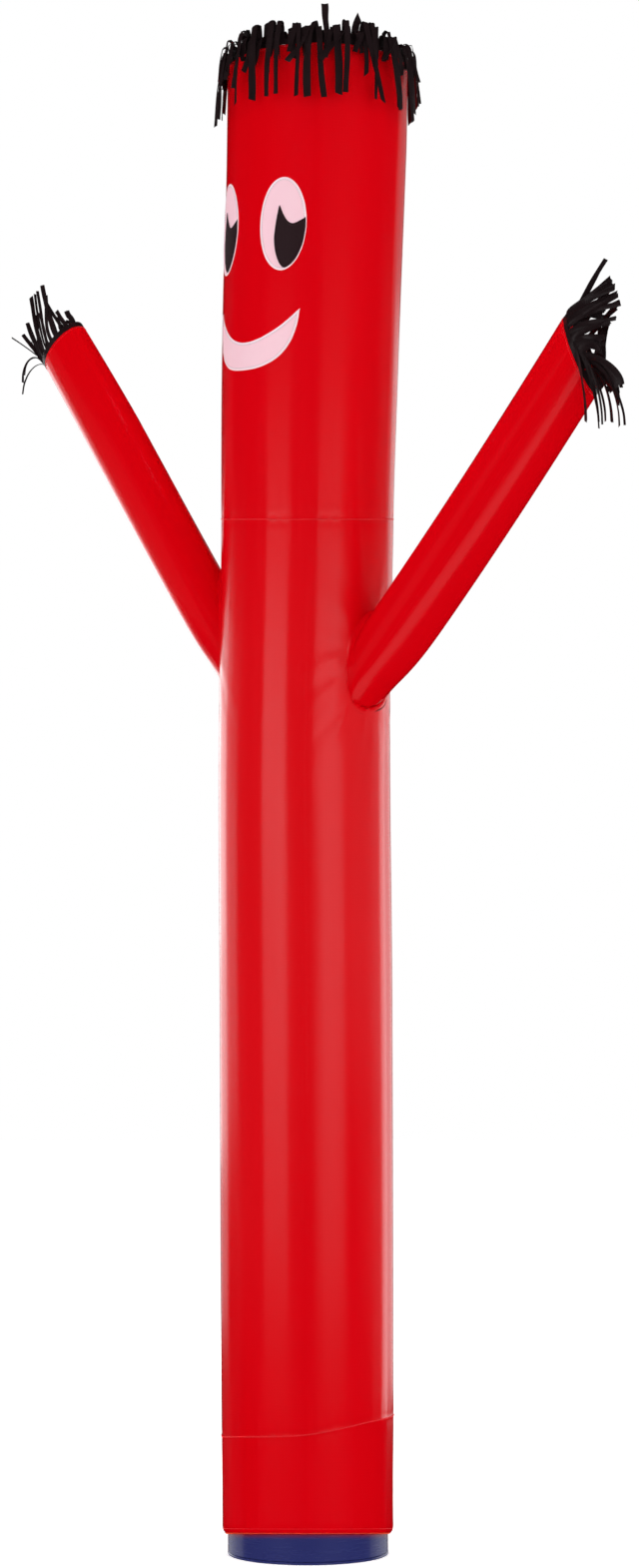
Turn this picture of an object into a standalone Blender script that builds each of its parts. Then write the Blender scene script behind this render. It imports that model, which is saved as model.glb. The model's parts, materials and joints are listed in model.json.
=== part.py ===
"""Inflatable air dancer: a tall red cloth tube with a face, two raised arm tubes and black
ribbon fringes, held open by air over the round outlet ring of its blower.

Frame: metres, +Z up, the face turned towards -Y. Azimuths are in degrees, measured from -Y
towards +X. Every object hangs on one empty, which puts the middle of the whole on the Z axis.
"""
import math

import bmesh
import bpy
from mathutils import Vector

# Blower ring
RING_RADIUS = 0.1524          # outside radius of a 12 inch outlet
RING_WALL = 0.003
RING_HEIGHT = 0.130

# Cloth
CLOTH = 0.0015                # thickness of the cloth sheets
SAME_POINT = 0.00005          # points closer than this are merged
SHARP_ANGLE = 35.0            # edges that turn more than this are shaded sharp
PATCH = 0.0010                # thickness of the sewn-on face pieces
GAP = 0.0003                  # space between pieces that meet
TUBE_SIDES = 40

# Hem of the base cuff: a plane tilted up towards -Y, drawn in to the ring
HEM_HEIGHT = 0.0364
HEM_TILT = 0.144
HEM_ROUND = 0.016
HEM_ROWS = (0.0, 0.004, 0.010, HEM_ROUND, 0.075)

# Seams between the tube's panels
LOWER_SEAM = 0.2433
LOWER_SEAM_LEAN = 0.0195      # rise towards +X
LOWER_SEAM_WAVE = 0.0045
UPPER_SEAM = 1.9606
UPPER_SEAM_TILT = 0.177       # fall towards -Y
RIM_HEIGHT = 2.809
BODY_ROWS = 7
HEAD_ROWS = 8

# The inflated tube: (height, radius, sideways shift of its axis)
PROFILE = (
    (0.000, 0.1620, 0.0000),
    (0.114, 0.1620, -0.0005),
    (0.303, 0.1634, -0.0010),
    (1.061, 0.1638, -0.0038),
    (1.439, 0.1629, -0.0066),
    (1.629, 0.1620, -0.0057),
    (1.894, 0.1629, -0.0010),
    (2.008, 0.1638, 0.0000),
    (2.197, 0.1667, 0.0034),
    (2.386, 0.1686, 0.0080),
    (2.576, 0.1695, 0.0145),
    (2.690, 0.1705, 0.0175),
    (2.850, 0.1705, 0.0190),
)

# Arm tubes: (name, azimuth, base height, elevation, length, radius, slant of the end cut,
# turn of its short side away from the underside, bow towards the underside)
ARMS = (
    ("right", 51.8, 1.670, 48.3, 0.690, 0.0625, 32.0, 30.0, 0.006),
    ("left", -109.4, 1.743, 60.2, 0.671, 0.0552, 17.0, 0.0, 0.0),
)
ARM_SIDES = 24
ARM_ROWS = 5
BORE_REACH = 0.130            # how far an arm's bore runs each way past the tube wall

# Face, drawn on the unrolled head: azimuths and heights of the pieces, their sizes and tilts
EYE_HALF_WIDTH = 0.046
EYE_HALF_HEIGHT = 0.086
EYES = (("right", -20.0, 2.4785), ("left", -72.0, 2.4950))
EYE_TILT = -1.0
PUPIL_LEFT_EDGE = -0.0156     # its widest point, left of the eye's middle
PUPIL_LEFT_HEIGHT = -0.025
PUPIL_SPIKE = (-0.0060, 0.0370)
PUPIL_NOTCH = (0.0210, -0.0015)
PUPIL_RIGHT_HEIGHT = 0.0100
PUPIL_INSET = 0.0015
PUPIL_BULGE = 0.55            # where its lower left side meets the eye's own edge
PUPIL_SPIKE_POWER = 0.7
PUPIL_NOTCH_POWER = 2.1
PUPIL_RISE_POWER = 1.4
MOUTH_AZIMUTH = -46.0
MOUTH_HEIGHT = 2.270
MOUTH_TILT = 6.0
MOUTH_HALF_WIDTH = 0.108
MOUTH_TIP_RISE = 0.0620
MOUTH_INNER = -0.0015
MOUTH_OUTER = -0.0525
MOUTH_POWER = 2.5             # fullness of the mouth's outer curve
PATCH_LIFT = 0.0005           # from the smooth tube to the back of a face piece
EYE_GRID = (14, 3)            # columns and rows of the face pieces
PUPIL_GRID = (12, 3)
MOUTH_GRID = (20, 2)

# Ribbon fringes
RIBBON = 0.0110               # ribbon width
BAND = 0.010                  # height of the backing strip
TIP_TAPER = 0.75              # tip thickness as a share of the root's
LEAN_POWER = 1.5              # how late along a ribbon its lean sets in
HAIR_COUNT = 64
HAIR_DROP = 0.104             # from the strip's top down to the usual ribbon tip
HAIR_FOLD = 0.0052            # each of the stretches that fold a ribbon over
HAIR_FOLD_BENDS = (10.0, 68.0, 124.0, 165.0)
HAIR_HANG_BEND = 177.0
HAIR_STAND_BENDS = (6.0, 18.0, 28.0, 36.0)
HAIR_STAND_FLARE = 0.35       # widening of a standing ribbon towards its tip
HAIR_RISE = 0.018             # straight stretch of the ribbons round the back
HAIR_OUTSIDE = -0.25          # ribbons round the back that vary above this hang outside
HAND_COUNT = 20
HAND_FOLD = 0.012
HAND_FOLD_SHARES = (0.15, 0.50, 0.80, 0.95)     # of the whole turn down, along the fold
HAND_BEND_SHARES = (0.2, 0.6, 1.0, 1.0)         # of a blown ribbon's bend, along it
HAND_SWELL = 2.3              # how the blown ribbons' length swells below the top of the end

# How much the ribbons differ from each other: widths, lengths and folds as shares, leans and
# rises in metres, bends in degrees
HAIR_SPREAD = {"width": 0.2, "drop": 0.08, "lean": 0.003, "rise": 0.008, "bend": 1.5}
HAND_SPREAD = {"width": 0.15, "length": 0.10, "fold": 0.25, "lean": 0.004, "bend": 7.0}

# Ribbons at the arms' ends: share of them that droops, drooping length and width share, blown
# length, its share at the top, bend of the blown ones at the top and beside the drooping ones
HANDS = {
    "right": (0.52, 0.116, 0.90, 0.080, 1.30, 2.0, 58.0),
    "left": (0.16, 0.098, 0.45, 0.108, 0.24, -12.0, 16.0),
}

# Front ribbons of the hair: (place in the ring from azimuth 0, fall, width, drop, lean, rise)
# fall: 1 hangs outside, -1 drops inside, 0 stands; width and drop are shares of the usual
# ones; lean moves the tip sideways, in metres; rise is the straight stretch above the strip.
HAIR_FRONT = (
    (-17, -1, 0.9, 0.80, 0.000, 0.012),
    (-16, -1, 1.0, 0.85, 0.000, 0.008),
    (-15, -1, 1.1, 0.80, 0.000, 0.014),
    (-14, 1, 0.9, 1.10, -0.006, 0.010),
    (-13, -1, 0.9, 0.80, -0.006, 0.024),
    (-12, 1, 1.0, 1.04, -0.010, 0.022),
    (-11, -1, 1.1, 0.80, 0.000, 0.032),
    (-10, -1, 1.0, 0.90, 0.004, 0.034),
    (-9, 1, 0.7, 0.96, 0.000, 0.026),
    (-8, -1, 1.2, 0.90, 0.000, 0.035),
    (-7, 1, 1.2, 0.98, 0.004, 0.028),
    (-6, -1, 1.2, 1.00, 0.000, 0.034),
    (-5, 1, 1.0, 0.98, 0.000, 0.030),
    (-4, 1, 0.8, 0.94, -0.004, 0.028),
    (-3, -1, 1.2, 1.00, 0.000, 0.018),
    (-2, 1, 0.7, 1.02, 0.000, 0.020),
    (-1, 1, 1.3, 1.04, 0.000, 0.016),
    (0, 1, 1.0, 1.06, 0.012, 0.012),
    (1, 0, 0.9, 0.52, -0.003, 0.020),
    (2, 1, 1.3, 0.98, 0.000, 0.016),
    (3, 1, 1.0, 1.00, 0.016, 0.018),
    (4, 0, 1.2, 0.40, 0.008, 0.012),
    (5, 1, 0.6, 0.74, -0.006, 0.032),
    (6, 1, 0.8, 1.00, -0.003, 0.030),
    (7, -1, 1.0, 0.90, 0.006, 0.030),
    (8, 1, 0.8, 0.92, 0.000, 0.018),
    (9, 1, 1.3, 1.02, 0.003, 0.012),
    (10, -1, 1.2, 0.95, 0.002, 0.016),
    (11, 1, 0.9, 1.16, 0.010, 0.010),
    (12, 1, 1.0, 0.98, 0.000, 0.012),
    (13, 1, 1.0, 1.00, 0.002, 0.012),
    (14, 1, 0.9, 0.94, 0.004, 0.008),
    (15, -1, 1.0, 0.90, 0.000, 0.010),
    (16, -1, 1.1, 0.85, 0.000, 0.008),
    (17, -1, 1.0, 0.90, 0.000, 0.012),
)

# Base colours, roughness and metallic value of the finishes
FINISHES = {
    "red_nylon": ((0.62, 0.005, 0.012, 1.0), 0.42, 0.0),
    "white_nylon": ((0.88, 0.66, 0.72, 1.0), 0.50, 0.0),
    "black_nylon": ((0.022, 0.015, 0.017, 1.0), 0.50, 0.0),
    "blue_enamel": ((0.024, 0.028, 0.130, 1.0), 0.30, 0.2),
}


def clear_scene():
    """Start from an empty scene."""
    for item in list(bpy.data.objects):
        bpy.data.objects.remove(item, do_unlink=True)


def finish(node, slot):
    """A Principled material for one node."""
    colour, roughness, metallic = FINISHES[slot]
    material = bpy.data.materials.new(f"{node}_{slot}")
    material.use_nodes = True
    shader = material.node_tree.nodes["Principled BSDF"]
    shader.inputs["Base Color"].default_value = colour
    shader.inputs["Roughness"].default_value = roughness
    shader.inputs["Metallic"].default_value = metallic
    material.diffuse_color = colour
    return material


def make_object(name, shape, slot, root, smooth=True):
    """Turn a bmesh into a named object with its own finish, under the root empty."""
    bmesh.ops.recalc_face_normals(shape, faces=shape.faces)
    mesh = bpy.data.meshes.new(name)
    shape.to_mesh(mesh)
    shape.free()
    if smooth:
        mesh.shade_smooth()
        mesh.set_sharp_from_angle(angle=math.radians(SHARP_ANGLE))
    item = bpy.data.objects.new(name, mesh)
    item.data.materials.append(finish(name, slot))
    item.parent = root
    bpy.context.scene.collection.objects.link(item)
    return item


def direction(azimuth):
    """Level unit vector at an azimuth."""
    angle = math.radians(azimuth)
    return Vector((math.sin(angle), -math.cos(angle), 0.0))


def tube_size(height):
    """Radius and axis shift of the tube at a height, on smooth curves through the profile."""
    last = len(PROFILE) - 1
    row = 0
    while row < last - 1 and height > PROFILE[row + 1][0]:
        row += 1
    below, above = PROFILE[row], PROFILE[row + 1]
    before, after = PROFILE[max(row - 1, 0)], PROFILE[min(row + 2, last)]
    span = above[0] - below[0]
    t = min(max((height - below[0]) / span, 0.0), 1.0)
    sizes = []
    for column in (1, 2):
        slope_low = (above[column] - before[column]) / (above[0] - before[0]) * span
        slope_high = (after[column] - below[column]) / (after[0] - below[0]) * span
        rise = above[column] - below[column]
        sizes.append(below[column] + slope_low * t + (3 * rise - 2 * slope_low - slope_high) * t ** 2
                     + (slope_low + slope_high - 2 * rise) * t ** 3)
    return sizes


def hem(azimuth):
    """Height of the cuff's lower edge."""
    return HEM_HEIGHT - HEM_TILT * RING_RADIUS * direction(azimuth).y


def lower_seam(azimuth):
    """Height of the seam between the cuff and the body."""
    angle = math.radians(azimuth)
    return LOWER_SEAM + LOWER_SEAM_LEAN * math.sin(angle) + LOWER_SEAM_WAVE * math.sin(2 * angle) ** 2


def upper_seam(azimuth):
    """Height of the seam between the body and the head."""
    radius = tube_size(UPPER_SEAM)[0]
    return UPPER_SEAM + UPPER_SEAM_TILT * radius * direction(azimuth).y


def on_tube(azimuth, height, lift=0.0):
    """Point of the tube's outer face, moved out by lift."""
    radius, shift = tube_size(height)
    return Vector((shift, 0.0, height)) + direction(azimuth) * (radius + lift)


def sheet_tube(rows, point, sides):
    """Closed solid of a tubular sheet: rows from one edge to the other, inside and outside.

    point(row, side, inner) gives each vertex.
    """
    shape = bmesh.new()
    walls = []
    for inner in (False, True):
        wall = []
        for row in range(rows + 1):
            wall.append([shape.verts.new(point(row, side, inner)) for side in range(sides)])
        walls.append(wall)
    for side in range(sides):
        after = (side + 1) % sides
        for wall in walls:
            for low, high in zip(wall, wall[1:]):
                shape.faces.new((low[side], low[after], high[after], high[side]))
        for row in (0, rows):
            outer, inside = walls[0][row], walls[1][row]
            shape.faces.new((outer[side], outer[after], inside[after], inside[side]))
    return shape


def side_azimuth(side):
    """Azimuth of a vertical edge of the faceted tube."""
    return 360.0 * side / TUBE_SIDES


def blower_ring(root):
    """Plain round outlet of the blower, open at both ends."""
    def point(row, side, inner):
        radius = RING_RADIUS - (RING_WALL if inner else 0.0)
        return direction(side_azimuth(side)) * radius + Vector((0.0, 0.0, row * RING_HEIGHT))

    return make_object("blower_ring", sheet_tube(1, point, TUBE_SIDES), "blue_enamel", root)


def base_cuff(root):
    """Lowest panel, drawn in at its hem to sit on the ring."""
    tuck = tube_size(0.0)[0] - (RING_RADIUS + GAP + CLOTH)

    def point(row, side, inner):
        azimuth = side_azimuth(side)
        if row < len(HEM_ROWS):
            above = HEM_ROWS[row]
            height = hem(azimuth) + above
        else:
            above = HEM_ROUND
            height = lower_seam(azimuth) - GAP
        drawn_in = tuck * (1.0 - min(above / HEM_ROUND, 1.0)) ** 2
        place = on_tube(azimuth, height, -drawn_in - (CLOTH if inner else 0.0))
        if above < HEM_ROUND:
            place.x -= tube_size(height)[1]
        return place

    shape = sheet_tube(len(HEM_ROWS), point, TUBE_SIDES)
    return make_object("base_cuff", shape, "red_nylon", root)


def panel_point(row, rows, side, bottom, top, lift):
    """Vertex of a panel of the tube between two seams."""
    azimuth = side_azimuth(side)
    low = bottom(azimuth)
    return on_tube(azimuth, low + (top(azimuth) - low) * row / rows, lift)


def panel(name, rows, bottom, top, root):
    """A panel of the tube between two seams."""
    def point(row, side, inner):
        return panel_point(row, rows, side, bottom, top, -CLOTH if inner else 0.0)

    return make_object(name, sheet_tube(rows, point, TUBE_SIDES), "red_nylon", root)


def stack(rings):
    """Closed solid through a stack of rings of points."""
    shape = bmesh.new()
    loops = [[shape.verts.new(place) for place in ring] for ring in rings]
    for low, high in zip(loops, loops[1:]):
        for side in range(len(low)):
            after = (side + 1) % len(low)
            shape.faces.new((low[side], low[after], high[after], high[side]))
    shape.faces.new(loops[0])
    shape.faces.new(loops[-1])
    return shape


def guide(name, rings, root):
    """Cutting solid, not part of the dancer."""
    item = make_object(name, stack(rings), "red_nylon", root, smooth=False)
    item.hide_render = True
    item.display_type = "WIRE"
    return item


def body_space(root):
    """The room that the inflated body takes, which the arms are trimmed to."""
    rings = [[panel_point(row, BODY_ROWS, side, lower_seam, upper_seam, GAP)
              for side in range(TUBE_SIDES)] for row in range(BODY_ROWS + 1)]
    return guide("body_space", rings, root)


class Arm:
    """Places of one arm tube: its axis, its end cut and its meeting with the body."""

    def __init__(self, azimuth, base_height, elevation, length, radius, slant, cut_turn, bow):
        out = direction(azimuth)
        rise = math.radians(elevation)
        self.axis = out * math.cos(rise) + Vector((0.0, 0.0, math.sin(rise)))
        self.under = out * math.sin(rise) - Vector((0.0, 0.0, math.cos(rise)))
        self.side = self.axis.cross(self.under)
        self.base = on_tube(azimuth, base_height)
        self.radius = radius
        self.length = length
        self.slant = math.tan(math.radians(slant))
        self.cut_turn = math.radians(cut_turn)
        self.bow = bow

    def around(self, turn):
        """Unit vector across the arm; turn 0 is its underside."""
        return self.under * math.cos(turn) + self.side * math.sin(turn)

    def end_distance(self, turn, radius):
        """How far along the axis the slanted end lies, at one side of the arm."""
        return self.length - self.slant * radius * math.cos(turn - self.cut_turn)

    def edge(self, turn, radius, beyond):
        """Point past the end cut, at a radius from the axis."""
        offset = self.around(turn) * radius
        return self.base + offset + self.axis * (self.end_distance(turn, radius) + beyond)


def arm_tube(name, arm, root):
    """Straight cloth sleeve that runs out of the body to its open, slanted end."""
    def point(row, side, inner):
        turn = math.tau * side / ARM_SIDES
        radius = arm.radius - (CLOTH if inner else 0.0)
        end = arm.end_distance(turn, radius)
        reach = -BORE_REACH + (end + BORE_REACH) * row / ARM_ROWS
        share = max(reach / end, 0.0)
        sag = arm.under * (4.0 * arm.bow * share * (1.0 - share))
        return arm.base + arm.around(turn) * radius + arm.axis * reach + sag

    return make_object(name, sheet_tube(ARM_ROWS, point, ARM_SIDES), "red_nylon", root)


def arm_bore(name, arm, root):
    """The air's way from the body into an arm."""
    rings = []
    for reach in (-BORE_REACH, BORE_REACH):
        rings.append([arm.base + arm.around(math.tau * side / ARM_SIDES) * (arm.radius - CLOTH)
                      + arm.axis * reach for side in range(ARM_SIDES)])
    return guide(name, rings, root)


def cut(item, cutter):
    """Boolean difference, left on the object."""
    modifier = item.modifiers.new(cutter.name, "BOOLEAN")
    modifier.operation = "DIFFERENCE"
    modifier.solver = "EXACT"
    modifier.object = cutter


def patch(name, slot, grid_size, outline, place, root):
    """Thin piece sewn to the head: columns between a low and a high edge.

    outline(share) gives (across, low, high); place(across, up, lift) gives the point.
    """
    columns, rows = grid_size
    shape = bmesh.new()
    layers = []
    for lift in (PATCH_LIFT, PATCH_LIFT + PATCH):
        grid = []
        for column in range(columns + 1):
            across, low, high = outline(column / columns)
            line = []
            for row in range(rows + 1):
                up = low + (high - low) * row / rows
                line.append(shape.verts.new(place(across, up, lift)))
            grid.append(line)
        layers.append(grid)
    for column in range(columns):
        for row in range(rows):
            for grid in layers:
                shape.faces.new((grid[column][row], grid[column + 1][row],
                                 grid[column + 1][row + 1], grid[column][row + 1]))
        for row in (0, rows):
            shape.faces.new((layers[0][column][row], layers[0][column + 1][row],
                             layers[1][column + 1][row], layers[1][column][row]))
    for column in (0, columns):
        for row in range(rows):
            shape.faces.new((layers[0][column][row], layers[0][column][row + 1],
                             layers[1][column][row + 1], layers[1][column][row]))
    bmesh.ops.remove_doubles(shape, verts=shape.verts, dist=SAME_POINT)
    return make_object(name, shape, slot, root)


def face_place(azimuth, height, tilt, extra_lift=0.0):
    """Placing function for a face piece: sizes on the unrolled cloth, turned clockwise by a tilt."""
    turn = math.radians(tilt)
    radius = tube_size(height)[0]

    def place(across, up, lift):
        level = across * math.cos(turn) + up * math.sin(turn)
        rise = up * math.cos(turn) - across * math.sin(turn)
        return on_tube(azimuth + math.degrees(level / radius), height + rise, lift + extra_lift)

    return place


def eye_edge(across):
    """Half the eye's height at a distance from its middle."""
    share = min(abs(across) / EYE_HALF_WIDTH, 1.0)
    return EYE_HALF_HEIGHT * math.sqrt(1.0 - share ** 2)


def eye_outline(share):
    """Oval, with its columns closer together towards its two ends."""
    across = -EYE_HALF_WIDTH * math.cos(math.pi * share)
    return across, -eye_edge(across), eye_edge(across)


def pupil_top(across):
    """Upper edge of the pupil: a spike on its left, a rounded notch, a rise on its right."""
    spike_x, spike_z = PUPIL_SPIKE
    notch_x, notch_z = PUPIL_NOTCH
    if across < spike_x:
        share = (across - PUPIL_LEFT_EDGE) / (spike_x - PUPIL_LEFT_EDGE)
        return PUPIL_LEFT_HEIGHT + (spike_z - PUPIL_LEFT_HEIGHT) * share ** PUPIL_SPIKE_POWER
    if across < notch_x:
        share = (notch_x - across) / (notch_x - spike_x)
        return notch_z + (spike_z - notch_z) * share ** PUPIL_NOTCH_POWER
    share = (across - notch_x) / (EYE_HALF_WIDTH - notch_x)
    return notch_z + (PUPIL_RIGHT_HEIGHT - notch_z) * share ** PUPIL_RISE_POWER


def pupil_outline(share):
    """Pupil low on the right of its eye, its right side along the eye's own edge."""
    right = EYE_HALF_WIDTH - PUPIL_INSET
    across = PUPIL_LEFT_EDGE + (right - PUPIL_LEFT_EDGE) * (1.0 - math.cos(math.pi * share)) / 2
    edge = eye_edge(across * EYE_HALF_WIDTH / right) * right / EYE_HALF_WIDTH
    curve = min((across - PUPIL_LEFT_EDGE) / (PUPIL_BULGE * right), 1.0)
    low = PUPIL_LEFT_HEIGHT + (-edge - PUPIL_LEFT_HEIGHT) * math.sqrt(curve * (2.0 - curve))
    return across, max(low, -edge), min(pupil_top(across), edge)


def mouth_outline(share):
    """Smiling crescent between a flat inner curve and a full outer curve."""
    across = -MOUTH_HALF_WIDTH * math.cos(math.pi * share)
    reach = min(abs(across) / MOUTH_HALF_WIDTH, 1.0)
    inner = MOUTH_INNER + (MOUTH_TIP_RISE - MOUTH_INNER) * reach ** 2
    fullness = 1.0 - (1.0 - reach ** MOUTH_POWER) ** (1.0 / MOUTH_POWER)
    outer = MOUTH_OUTER + (MOUTH_TIP_RISE - MOUTH_OUTER) * fullness
    return across, outer, inner


def vary(index, seed):
    """Repeatable uneven value between -1 and 1."""
    return math.sin(12.9898 * index + 78.233 * seed) * math.cos(4.1414 * index + seed)


def fringe(name, count, edge, along, ribbons, root):
    """Backing strip beside a cloth edge, with the ribbons that grow out of its far side.

    edge(turn, inner, beyond) gives points past the cloth's edge; along is the way out of the
    tube; ribbons holds one (width, path) for each ribbon, where path(up, out, across) lists
    (place, width direction, face direction, width share) from the root on.
    """
    shape = bmesh.new()
    corners = []
    for index, (width, _) in enumerate(ribbons):
        middle = math.tau * index / count
        radius = (edge(middle, False, 0.0) - edge(middle + math.pi, False, 0.0)).length / 2
        for turn in (middle - width / 2 / radius, middle + width / 2 / radius):
            low = [shape.verts.new(edge(turn, inner, GAP)) for inner in (False, True)]
            high = [shape.verts.new(edge(turn, inner, GAP + BAND)) for inner in (False, True)]
            corners.append((low, high))
    for index, (low, high) in enumerate(corners):
        next_low, next_high = corners[(index + 1) % len(corners)]
        shape.faces.new((low[0], next_low[0], next_high[0], high[0]))
        shape.faces.new((low[1], next_low[1], next_high[1], high[1]))
        shape.faces.new((low[0], next_low[0], next_low[1], low[1]))
        if index % 2:
            shape.faces.new((high[0], next_high[0], next_high[1], high[1]))
    for index, (width, path) in enumerate(ribbons):
        first, second = corners[2 * index][1], corners[2 * index + 1][1]
        loop = [first[0], second[0], second[1], first[1]]
        root_place = sum((vertex.co for vertex in loop), Vector()) / 4
        across = (second[0].co - first[0].co).normalized()
        out = (first[0].co + second[0].co - first[1].co - second[1].co).normalized()
        steps = path(root_place, along, out, across)
        for number, (place, side, face, width_share) in enumerate(steps):
            depth = CLOTH * (1.0 - (1.0 - TIP_TAPER) * (number + 1) / len(steps))
            half_side = side * width * width_share / 2
            half_face = face * depth / 2
            ring = [shape.verts.new(place - half_side + half_face),
                    shape.verts.new(place + half_side + half_face),
                    shape.verts.new(place + half_side - half_face),
                    shape.verts.new(place - half_side - half_face)]
            for corner in range(4):
                after = (corner + 1) % 4
                shape.faces.new((loop[corner], loop[after], ring[after], ring[corner]))
            loop = ring
        shape.faces.new(loop)
    return make_object(name, shape, "black_nylon", root)


def bent_path(lengths, bends, way, lean, flare):
    """Ribbon path that turns from the way out of the tube towards a bending direction.

    lengths and bends (degrees) list each stretch; way(up, out) gives the bending direction; lean
    moves the tip sideways; flare widens it.
    """
    total = sum(lengths)

    def path(place, up, out, across):
        toward = way(up, out)
        steps = []
        run = 0.0
        previous = 0.0
        for length, bend in zip(lengths, bends):
            angle = math.radians((bend + previous) / 2)
            move = up * math.cos(angle) + toward * math.sin(angle)
            before = run / total
            run += length
            shift = lean * ((run / total) ** LEAN_POWER - before ** LEAN_POWER)
            place = place + move * length + across * shift
            end = math.radians(bend)
            heading = up * math.cos(end) + toward * math.sin(end)
            face = across.cross(heading).normalized()
            ahead = steps[-1][2] if steps else out * math.cos(end)
            if face.dot(ahead) < 0.0:
                face = -face
            steps.append((place.copy(), across, face, 1.0 + flare * run / total))
            previous = bend
        return steps

    return path


def hair_ribbon(index):
    """Width and path of one ribbon of the hair."""
    place = (index + HAIR_COUNT // 2) % HAIR_COUNT - HAIR_COUNT // 2
    front = {row[0]: row[1:] for row in HAIR_FRONT}
    if place in front:
        fall, width, drop, lean, rise = front[place]
    else:
        fall = 1 if vary(index, 1) > HAIR_OUTSIDE else -1
        width = 1.0 + HAIR_SPREAD["width"] * vary(index, 2)
        drop = 1.0 + HAIR_SPREAD["drop"] * vary(index, 3)
        lean = HAIR_SPREAD["lean"] * vary(index, 4)
        rise = HAIR_RISE + HAIR_SPREAD["rise"] * vary(index, 5)
    drop *= HAIR_DROP
    if fall == 0:
        lengths = (rise, drop / 3, drop / 3, drop / 3)
        path = bent_path(lengths, HAIR_STAND_BENDS, lambda up, out: -out, lean, HAIR_STAND_FLARE)
        return RIBBON * width, path
    hang = drop + rise + HAIR_FOLD
    last = HAIR_HANG_BEND + HAIR_SPREAD["bend"] * vary(index, 6)
    lengths = (rise, HAIR_FOLD, HAIR_FOLD, HAIR_FOLD, hang / 2, hang / 2)
    path = bent_path(lengths, HAIR_FOLD_BENDS + (last, last), lambda up, out: out * fall, lean, 0.0)
    return RIBBON * width, path


def hand_ribbon(index, arm, hand):
    """Width and path of one ribbon at an arm's end: blown along above, drooping below."""
    droop, droop_length, droop_width, blown_length, top_share, top_bend, low_bend = hand
    turn = math.tau * index / HAND_COUNT
    level = (1.0 + math.cos(turn)) / 2
    uneven = 1.0 + HAND_SPREAD["length"] * vary(index, 8)
    width = RIBBON * (1.0 + HAND_SPREAD["width"] * vary(index, 9))
    if level > 1.0 - droop:
        width *= droop_width
        fold = HAND_FOLD * (1.0 + HAND_SPREAD["fold"] * vary(index, 7))
        hang = (droop_length * uneven - 4 * fold) / 2
        straight_down = 90.0 + math.degrees(math.asin(arm.axis.z))
        lengths = (fold, fold, fold, fold, hang, hang)
        bends = tuple(straight_down * share for share in HAND_FOLD_SHARES + (1.0, 1.0))
    else:
        lowness = level / (1.0 - droop)
        share = top_share + (1.0 - top_share) * math.sin(HAND_SWELL * lowness)
        lengths = (blown_length * share * uneven / 4,) * 4
        bend = top_bend + (low_bend - top_bend) * lowness + HAND_SPREAD["bend"] * vary(index, 7)
        bends = tuple(bend * part for part in HAND_BEND_SHARES)

    def way(up, out):
        mixed = arm.under - up * arm.under.dot(up)
        return mixed.normalized()

    return width, bent_path(lengths, bends, way, HAND_SPREAD["lean"] * vary(index, 10), 0.0)


def hair_fringe(root):
    """Ring of ribbons round the tube's open top."""
    def edge(turn, inner, beyond):
        azimuth = math.degrees(turn)
        place = on_tube(azimuth, RIM_HEIGHT, -CLOTH if inner else 0.0)
        return place + Vector((0.0, 0.0, beyond))

    ribbons = [hair_ribbon(index) for index in range(HAIR_COUNT)]
    return fringe("hair_fringe", HAIR_COUNT, edge, Vector((0.0, 0.0, 1.0)), ribbons, root)


def hand_fringe(name, arm, hand, root):
    """Ring of ribbons round an arm's open end."""
    def edge(turn, inner, beyond):
        return arm.edge(turn, arm.radius - (CLOTH if inner else 0.0), beyond)

    ribbons = [hand_ribbon(index, arm, hand) for index in range(HAND_COUNT)]
    return fringe(name, HAND_COUNT, edge, arm.axis, ribbons, root)


def centre(root):
    """Move the root so that the middle of all the pieces lies on the Z axis."""
    bpy.context.view_layer.update()
    low = Vector((math.inf, math.inf))
    high = Vector((-math.inf, -math.inf))
    for item in root.children:
        if item.hide_render:
            continue
        for vertex in item.data.vertices:
            low = Vector(map(min, low, vertex.co.xy))
            high = Vector(map(max, high, vertex.co.xy))
    middle = (low + high) / 2
    root.location = (-middle.x, -middle.y, 0.0)


def build():
    """Model the whole dancer."""
    clear_scene()
    root = bpy.data.objects.new("air_dancer", None)
    bpy.context.scene.collection.objects.link(root)
    blower_ring(root)
    base_cuff(root)
    body = panel("body_panel", BODY_ROWS, lower_seam, upper_seam, root)
    panel("head_panel", HEAD_ROWS, lambda azimuth: upper_seam(azimuth) + GAP,
          lambda azimuth: RIM_HEIGHT, root)
    space = body_space(root)
    for name, *sizes in ARMS:
        arm = Arm(*sizes)
        cut(arm_tube(f"arm_{name}", arm, root), space)
        cut(body, arm_bore(f"bore_{name}", arm, root))
        hand_fringe(f"hand_fringe_{name}", arm, HANDS[name], root)
    for name, azimuth, height in EYES:
        on_head = face_place(azimuth, height, EYE_TILT)
        on_eye = face_place(azimuth, height, EYE_TILT, PATCH + GAP)
        patch(f"eye_{name}", "white_nylon", EYE_GRID, eye_outline, on_head, root)
        patch(f"pupil_{name}", "black_nylon", PUPIL_GRID, pupil_outline, on_eye, root)
    smile = face_place(MOUTH_AZIMUTH, MOUTH_HEIGHT, MOUTH_TILT)
    patch("mouth", "white_nylon", MOUTH_GRID, mouth_outline, smile, root)
    hair_fringe(root)
    centre(root)
    bpy.context.view_layer.update()


build()
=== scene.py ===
"""Looks of the inflatable air dancer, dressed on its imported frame.

Metres, +Z up, the face turned towards -Y. Azimuths are in degrees from -Y towards +X, measured
round the blower ring's axis, which every shape below takes from the frame.
"""
import json
from bisect import bisect_left
from math import atan2, cos, degrees, exp, hypot, inf, pi, radians, sin, sqrt, tan, tau

import bmesh
import bpy
from mathutils import Matrix, Vector

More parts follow.
